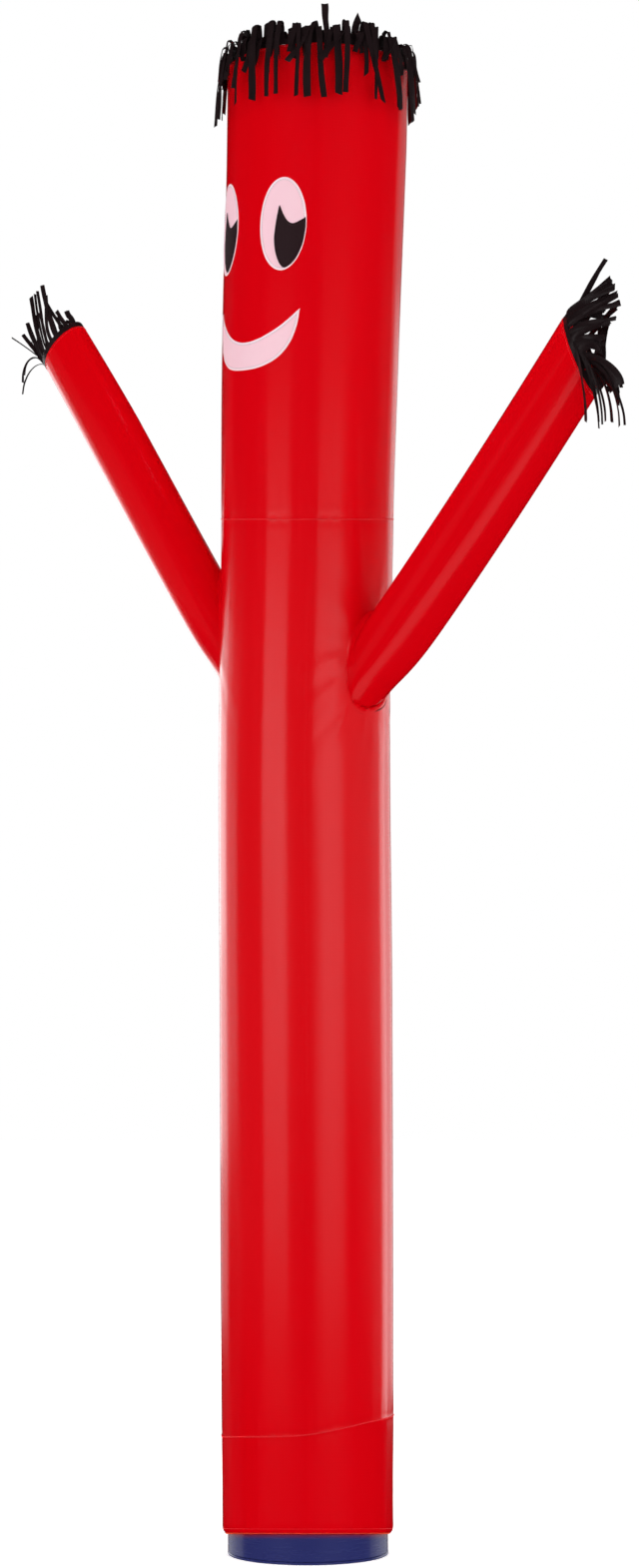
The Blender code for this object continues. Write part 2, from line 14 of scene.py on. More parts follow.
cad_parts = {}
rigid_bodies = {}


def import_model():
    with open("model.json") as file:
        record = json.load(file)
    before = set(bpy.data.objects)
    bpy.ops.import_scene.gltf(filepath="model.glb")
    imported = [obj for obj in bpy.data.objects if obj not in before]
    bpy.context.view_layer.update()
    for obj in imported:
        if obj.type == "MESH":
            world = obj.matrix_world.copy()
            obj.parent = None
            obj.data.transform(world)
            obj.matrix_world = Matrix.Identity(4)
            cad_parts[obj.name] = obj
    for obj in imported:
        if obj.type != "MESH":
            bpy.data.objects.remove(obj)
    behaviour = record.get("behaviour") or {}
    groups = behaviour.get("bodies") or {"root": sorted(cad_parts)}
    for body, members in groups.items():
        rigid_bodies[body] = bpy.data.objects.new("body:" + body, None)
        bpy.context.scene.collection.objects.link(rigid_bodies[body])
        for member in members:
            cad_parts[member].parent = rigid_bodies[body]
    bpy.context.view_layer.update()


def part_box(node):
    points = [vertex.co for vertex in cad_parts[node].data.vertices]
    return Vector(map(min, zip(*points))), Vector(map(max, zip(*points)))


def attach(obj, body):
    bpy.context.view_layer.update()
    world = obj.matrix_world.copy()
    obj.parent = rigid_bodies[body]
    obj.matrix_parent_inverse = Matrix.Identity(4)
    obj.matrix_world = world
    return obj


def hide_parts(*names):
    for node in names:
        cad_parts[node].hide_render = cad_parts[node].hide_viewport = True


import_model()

# ---- sizes shared with the solids

ring_low, ring_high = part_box("blower_ring")
CENTRE = Vector(((ring_low.x + ring_high.x) / 2, (ring_low.y + ring_high.y) / 2, 0.0))
RING_RADIUS = (ring_high.x - ring_low.x) / 2
RING_HEIGHT = ring_high.z
RING_WALL = 0.003
GAP = 0.0003

HEM_HEIGHT = 0.0364
HEM_TILT = 0.144
HEM_ROUND = 0.016
LOWER_SEAM = 0.2433
LOWER_SEAM_LEAN = 0.0195
LOWER_SEAM_WAVE = 0.0045
UPPER_SEAM = 1.9606
UPPER_SEAM_TILT = 0.177
RIM_HEIGHT = 2.809

# The inflated tube: (height, radius, sideways shift of its axis)
PROFILE = (
    (0.000, 0.1620, 0.0000), (0.114, 0.1620, -0.0005), (0.303, 0.1634, -0.0010),
    (1.061, 0.1638, -0.0038), (1.439, 0.1629, -0.0066), (1.629, 0.1620, -0.0057),
    (1.894, 0.1629, -0.0010), (2.008, 0.1638, 0.0000), (2.197, 0.1667, 0.0034),
    (2.386, 0.1686, 0.0080), (2.576, 0.1695, 0.0145), (2.690, 0.1705, 0.0175),
    (2.850, 0.1705, 0.0190),
)

# Arm tubes: (name, azimuth, base height, elevation, length, radius, slant of the end cut,
# turn of its short side away from the underside, bow towards the underside)
ARMS = (
    ("right", 51.8, 1.6635, 48.3, 0.695, 0.0625, 32.0, 30.0, 0.006),
    ("left", -109.4, 1.743, 60.2, 0.671, 0.0552, 17.0, 0.0, 0.0),
)

# How much an arm's upper side draws in at its end, over how much of its length
ARM_TAPERS = {"right": (0.0, 0.20), "left": (0.0070, 0.22)}

# How far an arm's underside is drawn in where it leaves the body
ARM_TUCKS = {"right": 0.0165, "left": 0.0095}

# Face, drawn on the unrolled head
EYE_HALF_WIDTH = 0.046
EYE_HALF_HEIGHT = 0.086
EYES = (("right", -20.0, 2.4785), ("left", -72.0, 2.4950))
EYE_TILT = -1.0
PUPIL_LEFT_EDGE = -0.0156
PUPIL_LEFT_HEIGHT = -0.025
PUPIL_SPIKE = (-0.0060, 0.0370)
PUPIL_NOTCH = (0.0210, -0.0015)
PUPIL_RIGHT_HEIGHT = 0.0100
PUPIL_INSET = 0.0015
MOUTH_AZIMUTH = -46.0
MOUTH_HEIGHT = 2.270
MOUTH_TILT = 6.0
MOUTH_HALF_WIDTH = 0.108
MOUTH_TIP_RISE = 0.0620
MOUTH_INNER = -0.0015
MOUTH_OUTER = -0.0525
MOUTH_POWER = 2.5
PUPIL_SIZE = (0.0601, 0.1200)
PUPIL_CURVES = (0.7, 2.1, 1.4)    # powers of its upper edge: spike, notch, rise
PUPIL_BELLY = 0.55                # share of the eye's half width where its left side ends

# Columns and rows of the face pieces, and columns of their stitches
EYE_GRID, PUPIL_GRID, MOUTH_GRID = (44, 40), (40, 34), (76, 26)
EYE_STITCHES, MOUTH_STITCHES = 90, 120

# Ribbon fringes
RIBBON = 0.0110
BAND = 0.010
HAIR_COUNT = 64
HAIR_EXTRAS = 140
HAIR_DROP = 0.104
HAIR_FOLD = 0.0052
HAIR_FOLD_BENDS = (10.0, 68.0, 124.0, 165.0)
HAIR_HANG_BEND = 177.0
HAIR_STAND_BENDS = (6.0, 18.0, 28.0, 36.0)
HAIR_STAND_FLARE = 0.35

# Ribbons at the arms' ends: (turn of the root in degrees, then in tenths of a millimetre the tip
# from the middle of the end: along, under, aside; width, how far it is thrown out first, length
# that hangs straight; companions)
HAND_UNITS = 10000.0
HAND_SEEDS = {"left": 40, "right": 90}
HANDS = {
    "left": (
        (150, 605, -349, 0, 110, 120, 0, 0), (128, 597, -239, 300, 90, 140, 0, 0),
        (112, 461, -235, 350, 50, 140, 0, 0), (96, 1150, -280, 400, 85, 340, 0, 1),
        (82, 910, -250, 460, 75, 300, 0, 0), (72, 1110, -140, 400, 60, 340, 0, 0),
        (62, 1120, -50, 340, 50, 340, 0, 0), (52, 1140, 70, 300, 80, 340, 0, 0),
        (40, 800, 170, 260, 70, 260, 0, 1), (30, 780, 400, 220, 90, 220, 0, 0),
        (14, 680, 610, 120, 80, 180, 0, 0), (4, 500, 580, 40, 50, 140, 0, 0),
        (352, 790, 870, 60, 26, 300, 0, 0), (8, -130, 1090, 120, 50, 400, 500, 0),
        (350, 10, 1010, 40, 24, 360, 400, 0), (358, -280, 1230, 0, 32, 220, 500, 0),
        (330, 1000, 200, -200, 60, 220, 0, 0), (300, 1110, 10, -300, 70, 200, 0, 0),
        (270, 1212, 23, -360, 70, 200, 0, 0), (240, 600, -60, -360, 70, 120, 0, 0),
        (210, 550, -170, -240, 70, 100, 0, 0),
    ),
    "right": (
        (182, 1570, -693, 0, 85, 400, 0, 0), (172, 1410, -713, 40, 45, 360, 0, 0),
        (196, 1370, -323, -60, 110, 200, 0, 2), (212, 1360, -183, -140, 110, 210, 0, 2),
        (226, 1350, -73, -180, 100, 300, 0, 2), (238, 1300, 57, -220, 80, 280, 0, 1),
        (216, 960, -14, -160, 110, 260, 0, 2), (232, 834, 40, -200, 110, 240, 0, 2),
        (252, 624, 29, -240, 100, 200, 0, 1), (248, 1220, 257, -260, 95, 280, 0, 1),
        (256, 1290, 137, -260, 75, 260, 0, 1), (264, 980, 377, -300, 80, 240, 0, 1),
        (276, 870, 347, -340, 90, 220, 0, 1), (286, 560, 447, -360, 110, 220, 100, 2),
        (296, 360, 527, -380, 120, 240, 200, 2), (308, 150, 1197, -200, 110, 400, 200, 2),
        (318, -370, 1647, -100, 60, 480, 500, 1), (326, -460, 1437, -160, 55, 360, 500, 1),
        (300, -510, 1377, -260, 50, 260, 550, 1), (290, -580, 1307, -320, 50, 200, 600, 1),
        (280, -690, 1177, -480, 85, 80, 700, 1), (336, -40, 1107, -60, 100, 340, 300, 2),
        (350, -130, 1167, 20, 90, 300, 300, 1), (10, -150, 887, 120, 90, 240, 300, 1),
        (40, 60, 500, 300, 90, 260, 200, 1), (70, 366, -32, 360, 125, 160, 0, 2),
        (100, 631, -156, 340, 125, 200, 0, 2), (84, 514, -99, 340, 130, 180, 0, 2),
        (54, 170, 130, 320, 130, 160, 0, 2), (130, 1010, -133, 260, 90, 300, 0, 1),
        (156, 1240, -373, 140, 90, 300, 0, 1),
    ),
}

# Front ribbons of the hair, one after another with azimuth 0 in their middle:
# (fall, width, drop, lean, rise)
HAIR_FRONT = (
    (-1, 0.9, 0.8, 0, 0.012), (-1, 1, 0.85, 0, 0.008), (-1, 1.1, 0.8, 0, 0.014),
    (1, 0.9, 1.1, -0.006, 0.01), (-1, 0.9, 0.8, -0.006, 0.024), (1, 1, 1.04, -0.01, 0.022),
    (-1, 1.1, 0.8, 0, 0.032), (-1, 1, 0.9, 0.004, 0.034), (1, 0.7, 0.96, 0, 0.026),
    (-1, 1.2, 0.9, 0, 0.035), (1, 1.2, 0.98, 0.004, 0.028), (-1, 1.2, 1, 0, 0.034),
    (1, 1, 0.98, 0, 0.03), (1, 0.8, 0.94, -0.004, 0.028), (-1, 1.2, 1, 0, 0.018),
    (1, 0.7, 1.02, 0, 0.02), (1, 1.3, 1.04, 0, 0.016), (1, 1, 1.06, 0.012, 0.012),
    (0, 0.9, 0.52, -0.003, 0.02), (1, 1.3, 0.98, 0, 0.016), (1, 1, 0.96, -0.006, 0.028),
    (0, 1.2, 0.38, 0.02, 0.012), (1, 1.1, 1.02, 0.03, 0.026), (1, 0.8, 1, -0.003, 0.03),
    (-1, 1, 0.9, 0.006, 0.03), (1, 1, 1.08, 0.018, 0.022), (1, 1.3, 1.02, 0.003, 0.012),
    (-1, 1.2, 0.95, 0.002, 0.016), (1, 0.9, 1.16, 0.01, 0.01), (1, 1, 0.98, 0, 0.012),
    (1, 1, 0.84, 0.002, 0.014), (1, 0.9, 0.74, 0.004, 0.008), (-1, 1, 0.72, 0, 0.014),
    (-1, 1.1, 0.66, 0, 0.008), (-1, 1, 0.7, 0, 0.014),
)

# ---- finer sizes of the cloth

UP = Vector((0.0, 0.0, 1.0))
NYLON = 0.0009                # cloth thickness that shows at its edges
PATCH = 0.0007                # the same of the face pieces
PATCH_LIFT = 0.0006           # gap under a face piece
PATCH_TOP = PATCH_LIFT + PATCH
PUPIL_GAP = 0.0005
START_BACK = 0.0006           # how far an arm's cloth starts inside the body's face
TUBE_SIDES = 208
ARM_SIDES = 96
FINE_ROW = 0.0050
COARSE_ROW = 0.0180

SEAM_RIDGE = 0.0004           # how far a sewn seam stands proud
SEAM_HALF = 0.0022            # half its width
SEAM_DIP = 0.0003             # how far the cloth sinks beside it
SEAM_DIP_REACH = 0.009
PUCKER = 0.0006
PUCKER_START = 0.006          # where beside a seam the puckers are full
PUCKER_REACH = 0.032          # how far they run from it

# Uneven relief: (size, waves round a tube or along its height, phase)
PUCKER_WAVES = ((0.45, 71, 0.3), (0.35, 97, 1.7), (0.40, 43, 2.9))
SOFT_WAVES = ((0.00050, 7, 0.4), (0.00035, 11, 2.0), (0.00020, 23, 1.1))
DRIFT_WAVES = ((0.35, 2.1, 0.0), (0.20, 5.3, 1.0))
DRIFT_TURN = 0.05
JOINT_WAVES = ((0.0005, 13, 0.7), (0.0003, 21, 2.2))
JOINT_START, JOINT_FADE = 0.020, 0.040
SLEEVE_WAVES = ((0.0008, 9, 1.2), (0.00048, 15, 0.4))
SLEEVE_START, SLEEVE_FADE = 0.020, 0.050
SLEEVE_PUCKERS = 0.38         # share of the tube's puckers that an arm's end has room for
SLEEVE_RIDGE = 0.7 * SEAM_RIDGE

# Soft relief along an arm: (size, waves round it, turn of the waves along a metre, phase)
SLEEVE_DRIFT = ((0.0006, 3, 5.0, 0.0), (0.0004, 5, -7.0, 1.0))
SLEEVE_DRIFT_START = 0.03

TAPER_POWER = 1.3
TUCK_TURN = 0.35              # where round an arm it is drawn in most
TUCK_LENGTH = 0.085           # how far along the arm the drawn-in underside recovers
JOINT_DEPTH = 0.20            # how far along an arm's axis the body's cloth meets it
JOINT_SEARCH = 0.14           # how far from its base an arm's start is looked for
JOINT_SEARCH_STEPS = 26
JOINT_REACH = 0.16            # how far the body's creases run from an arm
ARM_ZONE = (1.545, 1.885)     # heights of the body where the arms leave it
BORE_INSET = 0.0015           # how far the hole's edge lies inside the arm's outline
BORE_SINK = 0.0012            # how far its edge lies inside the body's face
BORE_ROUNDS = 4
FOLD = 0.0085                 # depth of the crease under an arm where it leaves the body
FOLD_PLACE = 0.008
FOLD_HALF = 0.0036
FOLD_TURN = 0.1
FOLD_POWER = 6
FLANGE = 0.0100               # radius of the curve by which an arm's cloth runs out on the body
FLANGE_UNDER = 0.0055         # the same under the arm

HEM_ROWS = (0.0, 0.0008, 0.0020, 0.0040, 0.0062, 0.0085, 0.0110, HEM_ROUND)
HEM_GATHER = 0.0008
GATHER_START, GATHER_FADE = 0.010, 0.030
HEM_FOLD = 0.0009             # how far the folded hem stands proud
HEM_FOLD_HALF = 0.0045
HEM_FOLD_START = 0.001

STITCH = 0.0034               # stitch length
STITCH_PITCH = 0.0046
STITCH_RADIUS = 0.00042
OVERLOCK_RADIUS = 0.00045
STITCH_INSET = 0.0046         # how far inside a face piece's edge its stitches run
OVERLOCKS = 340               # overlock stitches round the hem

# Relief of a face piece beside its edge: (height, distance from the edge, half width)
PATCH_HUMPS = ((0.00045, 0.0022, 0.0016), (-0.00035, STITCH_INSET, 0.0009))
PATCH_ROUND = 0.0008
MERGED, DISSOLVED = 0.00002, 0.00001    # distances under which its corners are joined
AREA_COLUMNS = 200

# Stitches: sides of a thread, and (share of its length, share of its radius, lift in radii)
THREAD_SIDES = 5
THREAD_RINGS = ((0.0, 0.35, -0.3), (0.2, 1.0, 0.5), (0.8, 1.0, 0.5), (1.0, 0.35, -0.3))


# ---- the tube's shape

def direction(azimuth):
    """Level unit vector at an azimuth."""
    angle = radians(azimuth)
    return Vector((sin(angle), -cos(angle), 0.0))


def tube_size(height):
    """Radius and axis shift of the tube at a height, on smooth curves through the profile."""
    last = len(PROFILE) - 1
    row = 0
    while row < last - 1 and height > PROFILE[row + 1][0]:
        row += 1
    below, above = PROFILE[row], PROFILE[row + 1]
    before, after = PROFILE[max(row - 1, 0)], PROFILE[min(row + 2, last)]
    span = above[0] - below[0]
    t = min(max((height - below[0]) / span, 0.0), 1.0)
    sizes = []
    for column in (1, 2):
        slope_low = (above[column] - before[column]) / (above[0] - before[0]) * span
        slope_high = (after[column] - below[column]) / (after[0] - below[0]) * span
        rise = above[column] - below[column]
        sizes.append(below[column] + slope_low * t
                     + (3 * rise - 2 * slope_low - slope_high) * t ** 2
                     + (slope_low + slope_high - 2 * rise) * t ** 3)
    return sizes


def hem(azimuth):
    """Height of the cuff's lower edge."""
    return HEM_HEIGHT - HEM_TILT * RING_RADIUS * direction(azimuth).y


def lower_seam(azimuth):
    """Height of the seam between the cuff and the body."""
    angle = radians(azimuth)
    wave = LOWER_SEAM_WAVE * sin(2 * angle) ** 2
    return LOWER_SEAM + LOWER_SEAM_LEAN * sin(angle) + wave


def upper_seam(azimuth):
    """Height of the seam between the body and the head."""
    radius = tube_size(UPPER_SEAM)[0]
    return UPPER_SEAM + UPPER_SEAM_TILT * radius * direction(azimuth).y


def on_tube(azimuth, height, lift=0.0):
    """Point of the tube's outer face, moved out by lift."""
    radius, shift = tube_size(height)
    return CENTRE + Vector((shift, 0.0, height)) + direction(azimuth) * (radius + lift)


class Arm:
    """Places of one arm tube: its axis, its end cut and its meeting with the body."""

    def __init__(self, name, azimuth, height, elevation, length, radius, slant, cut_turn, bow):
        out = direction(azimuth)
        rise = radians(elevation)
        self.axis = out * cos(rise) + UP * sin(rise)
        self.under = out * sin(rise) - UP * cos(rise)
        self.side = self.axis.cross(self.under)
        self.base = on_tube(azimuth, height)
        self.length, self.radius, self.bow = length, radius, bow
        self.slant = tan(radians(slant))
        self.cut_turn = radians(cut_turn)
        self.taper = ARM_TAPERS[name]
        self.tuck = ARM_TUCKS[name]

    def around(self, turn):
        """Unit vector across the arm; turn 0 is its underside."""
        return self.under * cos(turn) + self.side * sin(turn)

    def end_distance(self, turn, radius):
        """How far along the axis the slanted end lies, at one side of the arm."""
        return self.length - self.slant * radius * cos(turn - self.cut_turn)

    def drawn_in(self, turn, from_end):
        """How much the upper side has drawn in at a distance from the end."""
        depth, length = self.taper
        share = max(1.0 - from_end / length, 0.0) ** TAPER_POWER
        return depth * share * (1.0 - cos(turn)) / 2

    def tucked(self, turn):
        """How far one side of the arm is drawn in where it leaves the body."""
        return self.tuck * max(cos(turn - TUCK_TURN), 0.0) ** 2

    def sag(self, reach, end):
        """Bow of the arm at a distance along it."""
        share = min(max(reach / end, 0.0), 1.0)
        return self.under * (4.0 * self.bow * share * (1.0 - share))

    def edge(self, turn, radius, beyond):
        """Point past the end cut, at a radius from the axis."""
        offset = self.around(turn) * radius
        return self.base + offset + self.axis * (self.end_distance(turn, radius) + beyond)

    def polar(self, place):
        """Distance along the axis, distance from it, and turn, of a point."""
        local = place - self.base
        along = local.dot(self.axis)
        across = local - self.axis * along
        turn = atan2(across.dot(self.side), across.dot(self.under))
        return along, across.length, turn

    def start_distance(self, turn, radius):
        """Where a line along the arm leaves the body's surface."""
        low, high = -JOINT_SEARCH, JOINT_SEARCH
        offset = self.base + self.around(turn) * radius
        for _ in range(JOINT_SEARCH_STEPS):
            middle = (low + high) / 2
            place = offset + self.axis * middle - CENTRE
            size, shift = tube_size(place.z)
            if hypot(place.x - shift, place.y) < size:
                low = middle
            else:
                high = middle
        return high

    def ends(self, turn):
        """Distances along the axis where the cloth starts on the body and where it ends."""
        outline = self.radius - self.tucked(turn) + flange(turn)
        return (self.start_distance(turn, outline) - START_BACK,
                self.end_distance(turn, self.radius))


# ---- relief of the inflated cloth

def waves(turn, table):
    """Sum of uneven waves round a tube or along its height."""
    return sum(size * sin(count * turn + phase) for size, count, phase in table)


def hump(distance, half, power=2):
    """Smooth hump that is 1 at no distance."""
    return exp(-((distance / half) ** power))


def fading(distance, start, reach):
    """Share that grows until a start distance and fades out over a reach."""
    return min(distance / start, 1.0) * exp(-distance / reach)


def seam_relief(distance, turn, ridge=SEAM_RIDGE):
    """Ridge, dip and puckers beside a sewn seam."""
    reach = abs(distance)
    puckers = PUCKER * waves(turn, PUCKER_WAVES) * fading(reach, PUCKER_START, PUCKER_REACH)
    return ridge * hump(reach, SEAM_HALF, 4) - SEAM_DIP * hump(reach, SEAM_DIP_REACH) + puckers


def soft_relief(turn, height):
    """Long soft ridges that run up the tube."""
    drift = waves(height, DRIFT_WAVES)
    return sum(size * sin(count * (turn + DRIFT_TURN * drift) + phase + drift)
               for size, count, phase in SOFT_WAVES)


def joint_relief(place):
    """Short creases of the body's cloth round each arm's seam."""
    relief = 0.0
    for arm in arms.values():
        along, across, turn = arm.polar(place)
        distance = across - arm.radius + arm.tucked(turn)
        if abs(along) > JOINT_DEPTH or distance > JOINT_REACH:
            continue
        relief += waves(turn, JOINT_WAVES) * fading(max(distance - FLANGE, 0.0), JOINT_START,
                                                    JOINT_FADE)
    return relief


def flange(turn):
    """Radius of the curve at one side of an arm's base."""
    under = max(cos(turn), 0.0)
    return FLANGE + (FLANGE_UNDER - FLANGE) * under ** 0.7


arms = {row[0]: Arm(*row) for row in ARMS}


# ---- mesh helpers

def new_shape():
    """Empty bmesh with a UV map, which is in metres of cloth."""
    shape = bmesh.new()
    shape.loops.layers.uv.new("cloth")
    return shape


def add_face(shape, verts, uvs=()):
    """Face whose corners may carry cloth coordinates."""
    face = shape.faces.new(verts)
    for loop, uv in zip(face.loops, uvs):
        loop[shape.loops.layers.uv.active].uv = uv
    return face


def vert_loops(shape, rows, columns, point):
    """Loops of vertices and their cloth coordinates; point(row, turn) gives (place, (u, v))."""
    flat = {}
    loops = []
    for row in rows:
        line = []
        for column in range(columns):
            place, uv = point(row, tau * column / columns)
            line.append(shape.verts.new(place))
            flat[line[-1]] = uv
        loops.append(line)
    return loops, flat


def join_loops(shape, loops, flat=None):
    """Faces from each closed loop of vertices to the next."""
    faces = []
    for low, high in zip(loops, loops[1:]):
        for side in range(len(low)):
            after = (side + 1) % len(low)
            corners = (low[side], low[after], high[after], high[side])
            uvs = [flat[vert] for vert in corners] if flat else ()
            faces.append(add_face(shape, corners, uvs))
    return faces


def hoop(shape, rows, columns, point):
    """Solid ring: its last loop of vertices joins its first."""
    loops, flat = vert_loops(shape, rows, columns, point)
    join_loops(shape, loops + loops[:1], flat)


def thicken(shape, depth):
    """Give an open skin its thickness on its inner side, with walls along its edges."""
    shape.normal_update()
    layer = shape.loops.layers.uv.active
    outer = list(shape.faces)
    inner = {vert: shape.verts.new(vert.co - vert.normal * depth) for vert in list(shape.verts)}
    walls = []
    for edge in shape.edges:
        if len(edge.link_faces) == 1:
            first = edge.link_loops[0]
            second = first.link_loop_next
            uvs = first[layer].uv.copy(), second[layer].uv.copy()
            walls.append((first.vert, second.vert, *uvs))
    for face in outer:
        loops = list(face.loops)[::-1]
        uvs = [loop[layer].uv.copy() for loop in loops]
        add_face(shape, [inner[loop.vert] for loop in loops], uvs)
    for first, second, first_uv, second_uv in walls:
        add_face(shape, (second, first, inner[first], inner[second]),
                 (second_uv, first_uv, first_uv, second_uv))


def add_object(name, data):
    """New object in the scene."""
    item = bpy.data.objects.new(name, data)
    bpy.context.scene.collection.objects.link(item)
    return item


def make_piece(name, shape, look, node_name=None, sharp=50):
    """Turn a bmesh into a shown piece that rides on the body and may replace a solid."""
    mesh = bpy.data.meshes.new(name)
    shape.normal_update()
    shape.to_mesh(mesh)
    shape.free()
    mesh.shade_smooth()
    mesh.set_sharp_from_angle(angle=radians(sharp))
    material, slot = LOOKS[look]
    mesh.materials.append(material)
    piece = add_object(name, mesh)
    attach(piece, "root")
    if node_name:
        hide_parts(node_name)
    return piece


def cloth_tube(name, node_name, rows, columns, point, span, cut=None):
    """Red sheet round a tube, thickened inwards; span is its flat width."""
    shape = new_shape()
    loops, flat = vert_loops(shape, rows, columns, point)
    layer = shape.loops.layers.uv.active
    for face in join_loops(shape, loops, flat):
        across = [loop[layer].uv.x for loop in face.loops]
        if max(across) - min(across) > span / 2:
            for loop in face.loops:
                if loop[layer].uv.x < span / 2:
                    loop[layer].uv.x += span
    if cut:
        cut(shape, loops)
    thicken(shape, NYLON)
    return make_piece(name, shape, "red", node_name)


def row_places(low, high, fine_zones):
    """Shares of the way from low to high, closer together inside the fine zones."""
    places = [low]
    while places[-1] < high:
        here = places[-1]
        fine = any(start <= here <= end for start, end in fine_zones)
        places.append(here + (FINE_ROW if fine else COARSE_ROW))
    return [(place - low) / (places[-1] - low) for place in places]


def vary(index, seed):
    """Repeatable uneven value between -1 and 1."""
    return sin(12.9898 * index + 78.233 * seed) * cos(4.1414 * index + seed)


def run_lengths(points):
    """Distance along a line to each of its points."""
    lengths = [0.0]
    for first, second in zip(points, points[1:]):
        lengths.append(lengths[-1] + (second - first).length)
    return lengths


def stretch_at(lengths, distance):
    """Which stretch of a line holds a distance along it, and the share of that stretch."""
    index = min(max(bisect_left(lengths, distance) - 1, 0), len(lengths) - 2)
    return index, (distance - lengths[index]) / max(lengths[index + 1] - lengths[index], 1e-9)


def thread(shape, start, end, normal, radius=STITCH_RADIUS):
    """One stitch: a short thread that bulges between two needle holes."""
    side = (end - start).normalized().cross(normal).normalized()
    rings = []
    for share, size, lift in THREAD_RINGS:
        middle = start.lerp(end, share) + normal * (radius * lift)
        turns = [tau * corner / THREAD_SIDES for corner in range(THREAD_SIDES)]
        spokes = [side * cos(turn) + normal * sin(turn) for turn in turns]
        rings.append([shape.verts.new(middle + spoke * (radius * size)) for spoke in spokes])
    join_loops(shape, rings)
    shape.faces.new(rings[0][::-1])
    shape.faces.new(rings[-1])


def stitch_line(shape, points):
    """Row of stitches along a closed line of (place, normal)."""
    path = points + points[:1]
    lengths = run_lengths([place for place, _ in path])
    count = int(lengths[-1] / STITCH_PITCH)
    pitch = lengths[-1] / count

    def at(distance):
        index, share = stretch_at(lengths, distance)
        (place, normal), (next_place, next_normal) = path[index], path[index + 1]
        return place.lerp(next_place, share), normal.lerp(next_normal, share).normalized()

    for number in range(count):
        start, normal = at(number * pitch)
        end, _ = at(number * pitch + STITCH)
        thread(shape, start, end, normal)


# ---- materials

THREAD_PITCH = 0.0009         # of the nylon's weave
RIBBON_PITCH = 0.0007         # of the ribbons' weave
RIP_PITCH = 0.0060            # of the ripstop grid
RIP_WIDTH = 0.0007


def base_material(name, colour, roughness, **sockets):
    """Principled material with its constant values on the shader's own sockets."""
    material = bpy.data.materials.new(name)
    material.use_nodes = True
    inputs = material.node_tree.nodes["Principled BSDF"].inputs
    inputs["Base Color"].default_value = (*colour, 1.0)
    inputs["Roughness"].default_value = roughness
    for socket, value in sockets.items():
        inputs[socket.replace("_", " ")].default_value = value
    return material


def node(material, kind, setting=None, **inputs):
    """New node with one setting, and some inputs set or linked; _0 is the first input."""
    item = material.node_tree.nodes.new(kind)
    if setting:
        setattr(item, *setting)
    for name, value in inputs.items():
        socket = item.inputs[int(name[1:]) if name[0] == "_" else name.replace("_", " ")]
        if isinstance(value, bpy.types.NodeSocket):
            material.node_tree.links.new(value, socket)
        else:
            socket.default_value = value
    return item


def finish(material, bump=None, **sockets):
    """Link outputs to the shader's sockets, and a bump of (height, distance, strength)."""
    shader = material.node_tree.nodes["Principled BSDF"]
    if bump:
        height, distance, strength = bump
        sockets["Normal"] = node(material, "ShaderNodeBump", Height=height, Distance=distance,
                                 Strength=strength).outputs[0]
    for socket, output in sockets.items():
        material.node_tree.links.new(output, shader.inputs[socket.replace("_", " ")])
    return material


def maths(material, operation, first, second=0.0):
    """Output of one math node."""
    setting = ("operation", operation)
    return node(material, "ShaderNodeMath", setting, _0=first, _1=second).outputs[0]


def rescaled(material, value, factor, offset=0.0):
    """A value times a factor, plus an offset."""
    return maths(material, "ADD", maths(material, "MULTIPLY", value, factor), offset)


def blend_colours(material, share, *colours):
    """Output of a mix of two colours, each one fixed or linked."""
    first, second = (colour if isinstance(colour, bpy.types.NodeSocket) else (*colour, 1.0)
                     for colour in colours)
    return node(material, "ShaderNodeMix", ("data_type", "RGBA"), _0=share, _6=first,
                _7=second).outputs[2]


def line_mask(material, coordinate):
    """1 on the ripstop's thin lines across a coordinate, 0 between them."""
    share = maths(material, "FRACT", maths(material, "MULTIPLY", coordinate, 1.0 / RIP_PITCH))
    centred = maths(material, "ABSOLUTE", maths(material, "SUBTRACT", share, 0.5))
    return maths(material, "LESS_THAN", centred, RIP_WIDTH / RIP_PITCH / 2)


def weave(material, pitch):
    """Height of a plain weave with a ripstop grid, and the grid, from the cloth coordinates."""
    uv = node(material, "ShaderNodeUVMap", ("uv_map", "cloth"))
    ways = node(material, "ShaderNodeSeparateXYZ", Vector=uv.outputs[0]).outputs[:2]
    ripples = [maths(material, "SINE", maths(material, "MULTIPLY", way, tau / pitch))
               for way in ways]
    threads = maths(material, "MULTIPLY", *ripples)
    grid = maths(material, "MAXIMUM", *(line_mask(material, way) for way in ways))
    return rescaled(material, threads, 0.05, grid), grid


def noise(material, scale, detail=3.0, stretch=(1.0, 1.0, 1.0)):
    """Value of a noise in object space."""
    place = node(material, "ShaderNodeTexCoord").outputs["Object"]
    mapping = node(material, "ShaderNodeMapping", Vector=place, Scale=stretch)
    return node(material, "ShaderNodeTexNoise", Vector=mapping.outputs[0], Scale=scale,
                Detail=detail).outputs[0]


def red_nylon():
    """Ripstop nylon with a satin face."""
    material = base_material("red_ripstop_nylon", RED, 0.36)
    height, grid = weave(material, THREAD_PITCH)
    cloudy = noise(material, 3.0, 4.0, (1.0, 1.0, 0.35))
    shade = blend_colours(material, cloudy, RED_DEEP, RED_BRIGHT)
    shade = blend_colours(material, maths(material, "MULTIPLY", grid, 0.22), shade, RED_LINE)
    rough = rescaled(material, noise(material, 60.0), 0.05, 0.16)
    height = rescaled(material, noise(material, 9.0, 2.0, (1.0, 1.0, 0.4)), 4.0, height)
    return finish(material, (height, 0.00010, 0.45), Base_Color=shade, Roughness=rough)


def thread_material(name, colour, gloss=0.5):
    """Sewing thread with a fine twist."""
    material = base_material(name, colour, 0.45, Specular_IOR_Level=gloss)
    fibre = noise(material, 900.0, 2.0)
    tint = blend_colours(material, fibre, [part * 0.85 for part in colour], colour)
    return finish(material, (fibre, 0.0002, 1.0), Base_Color=tint)


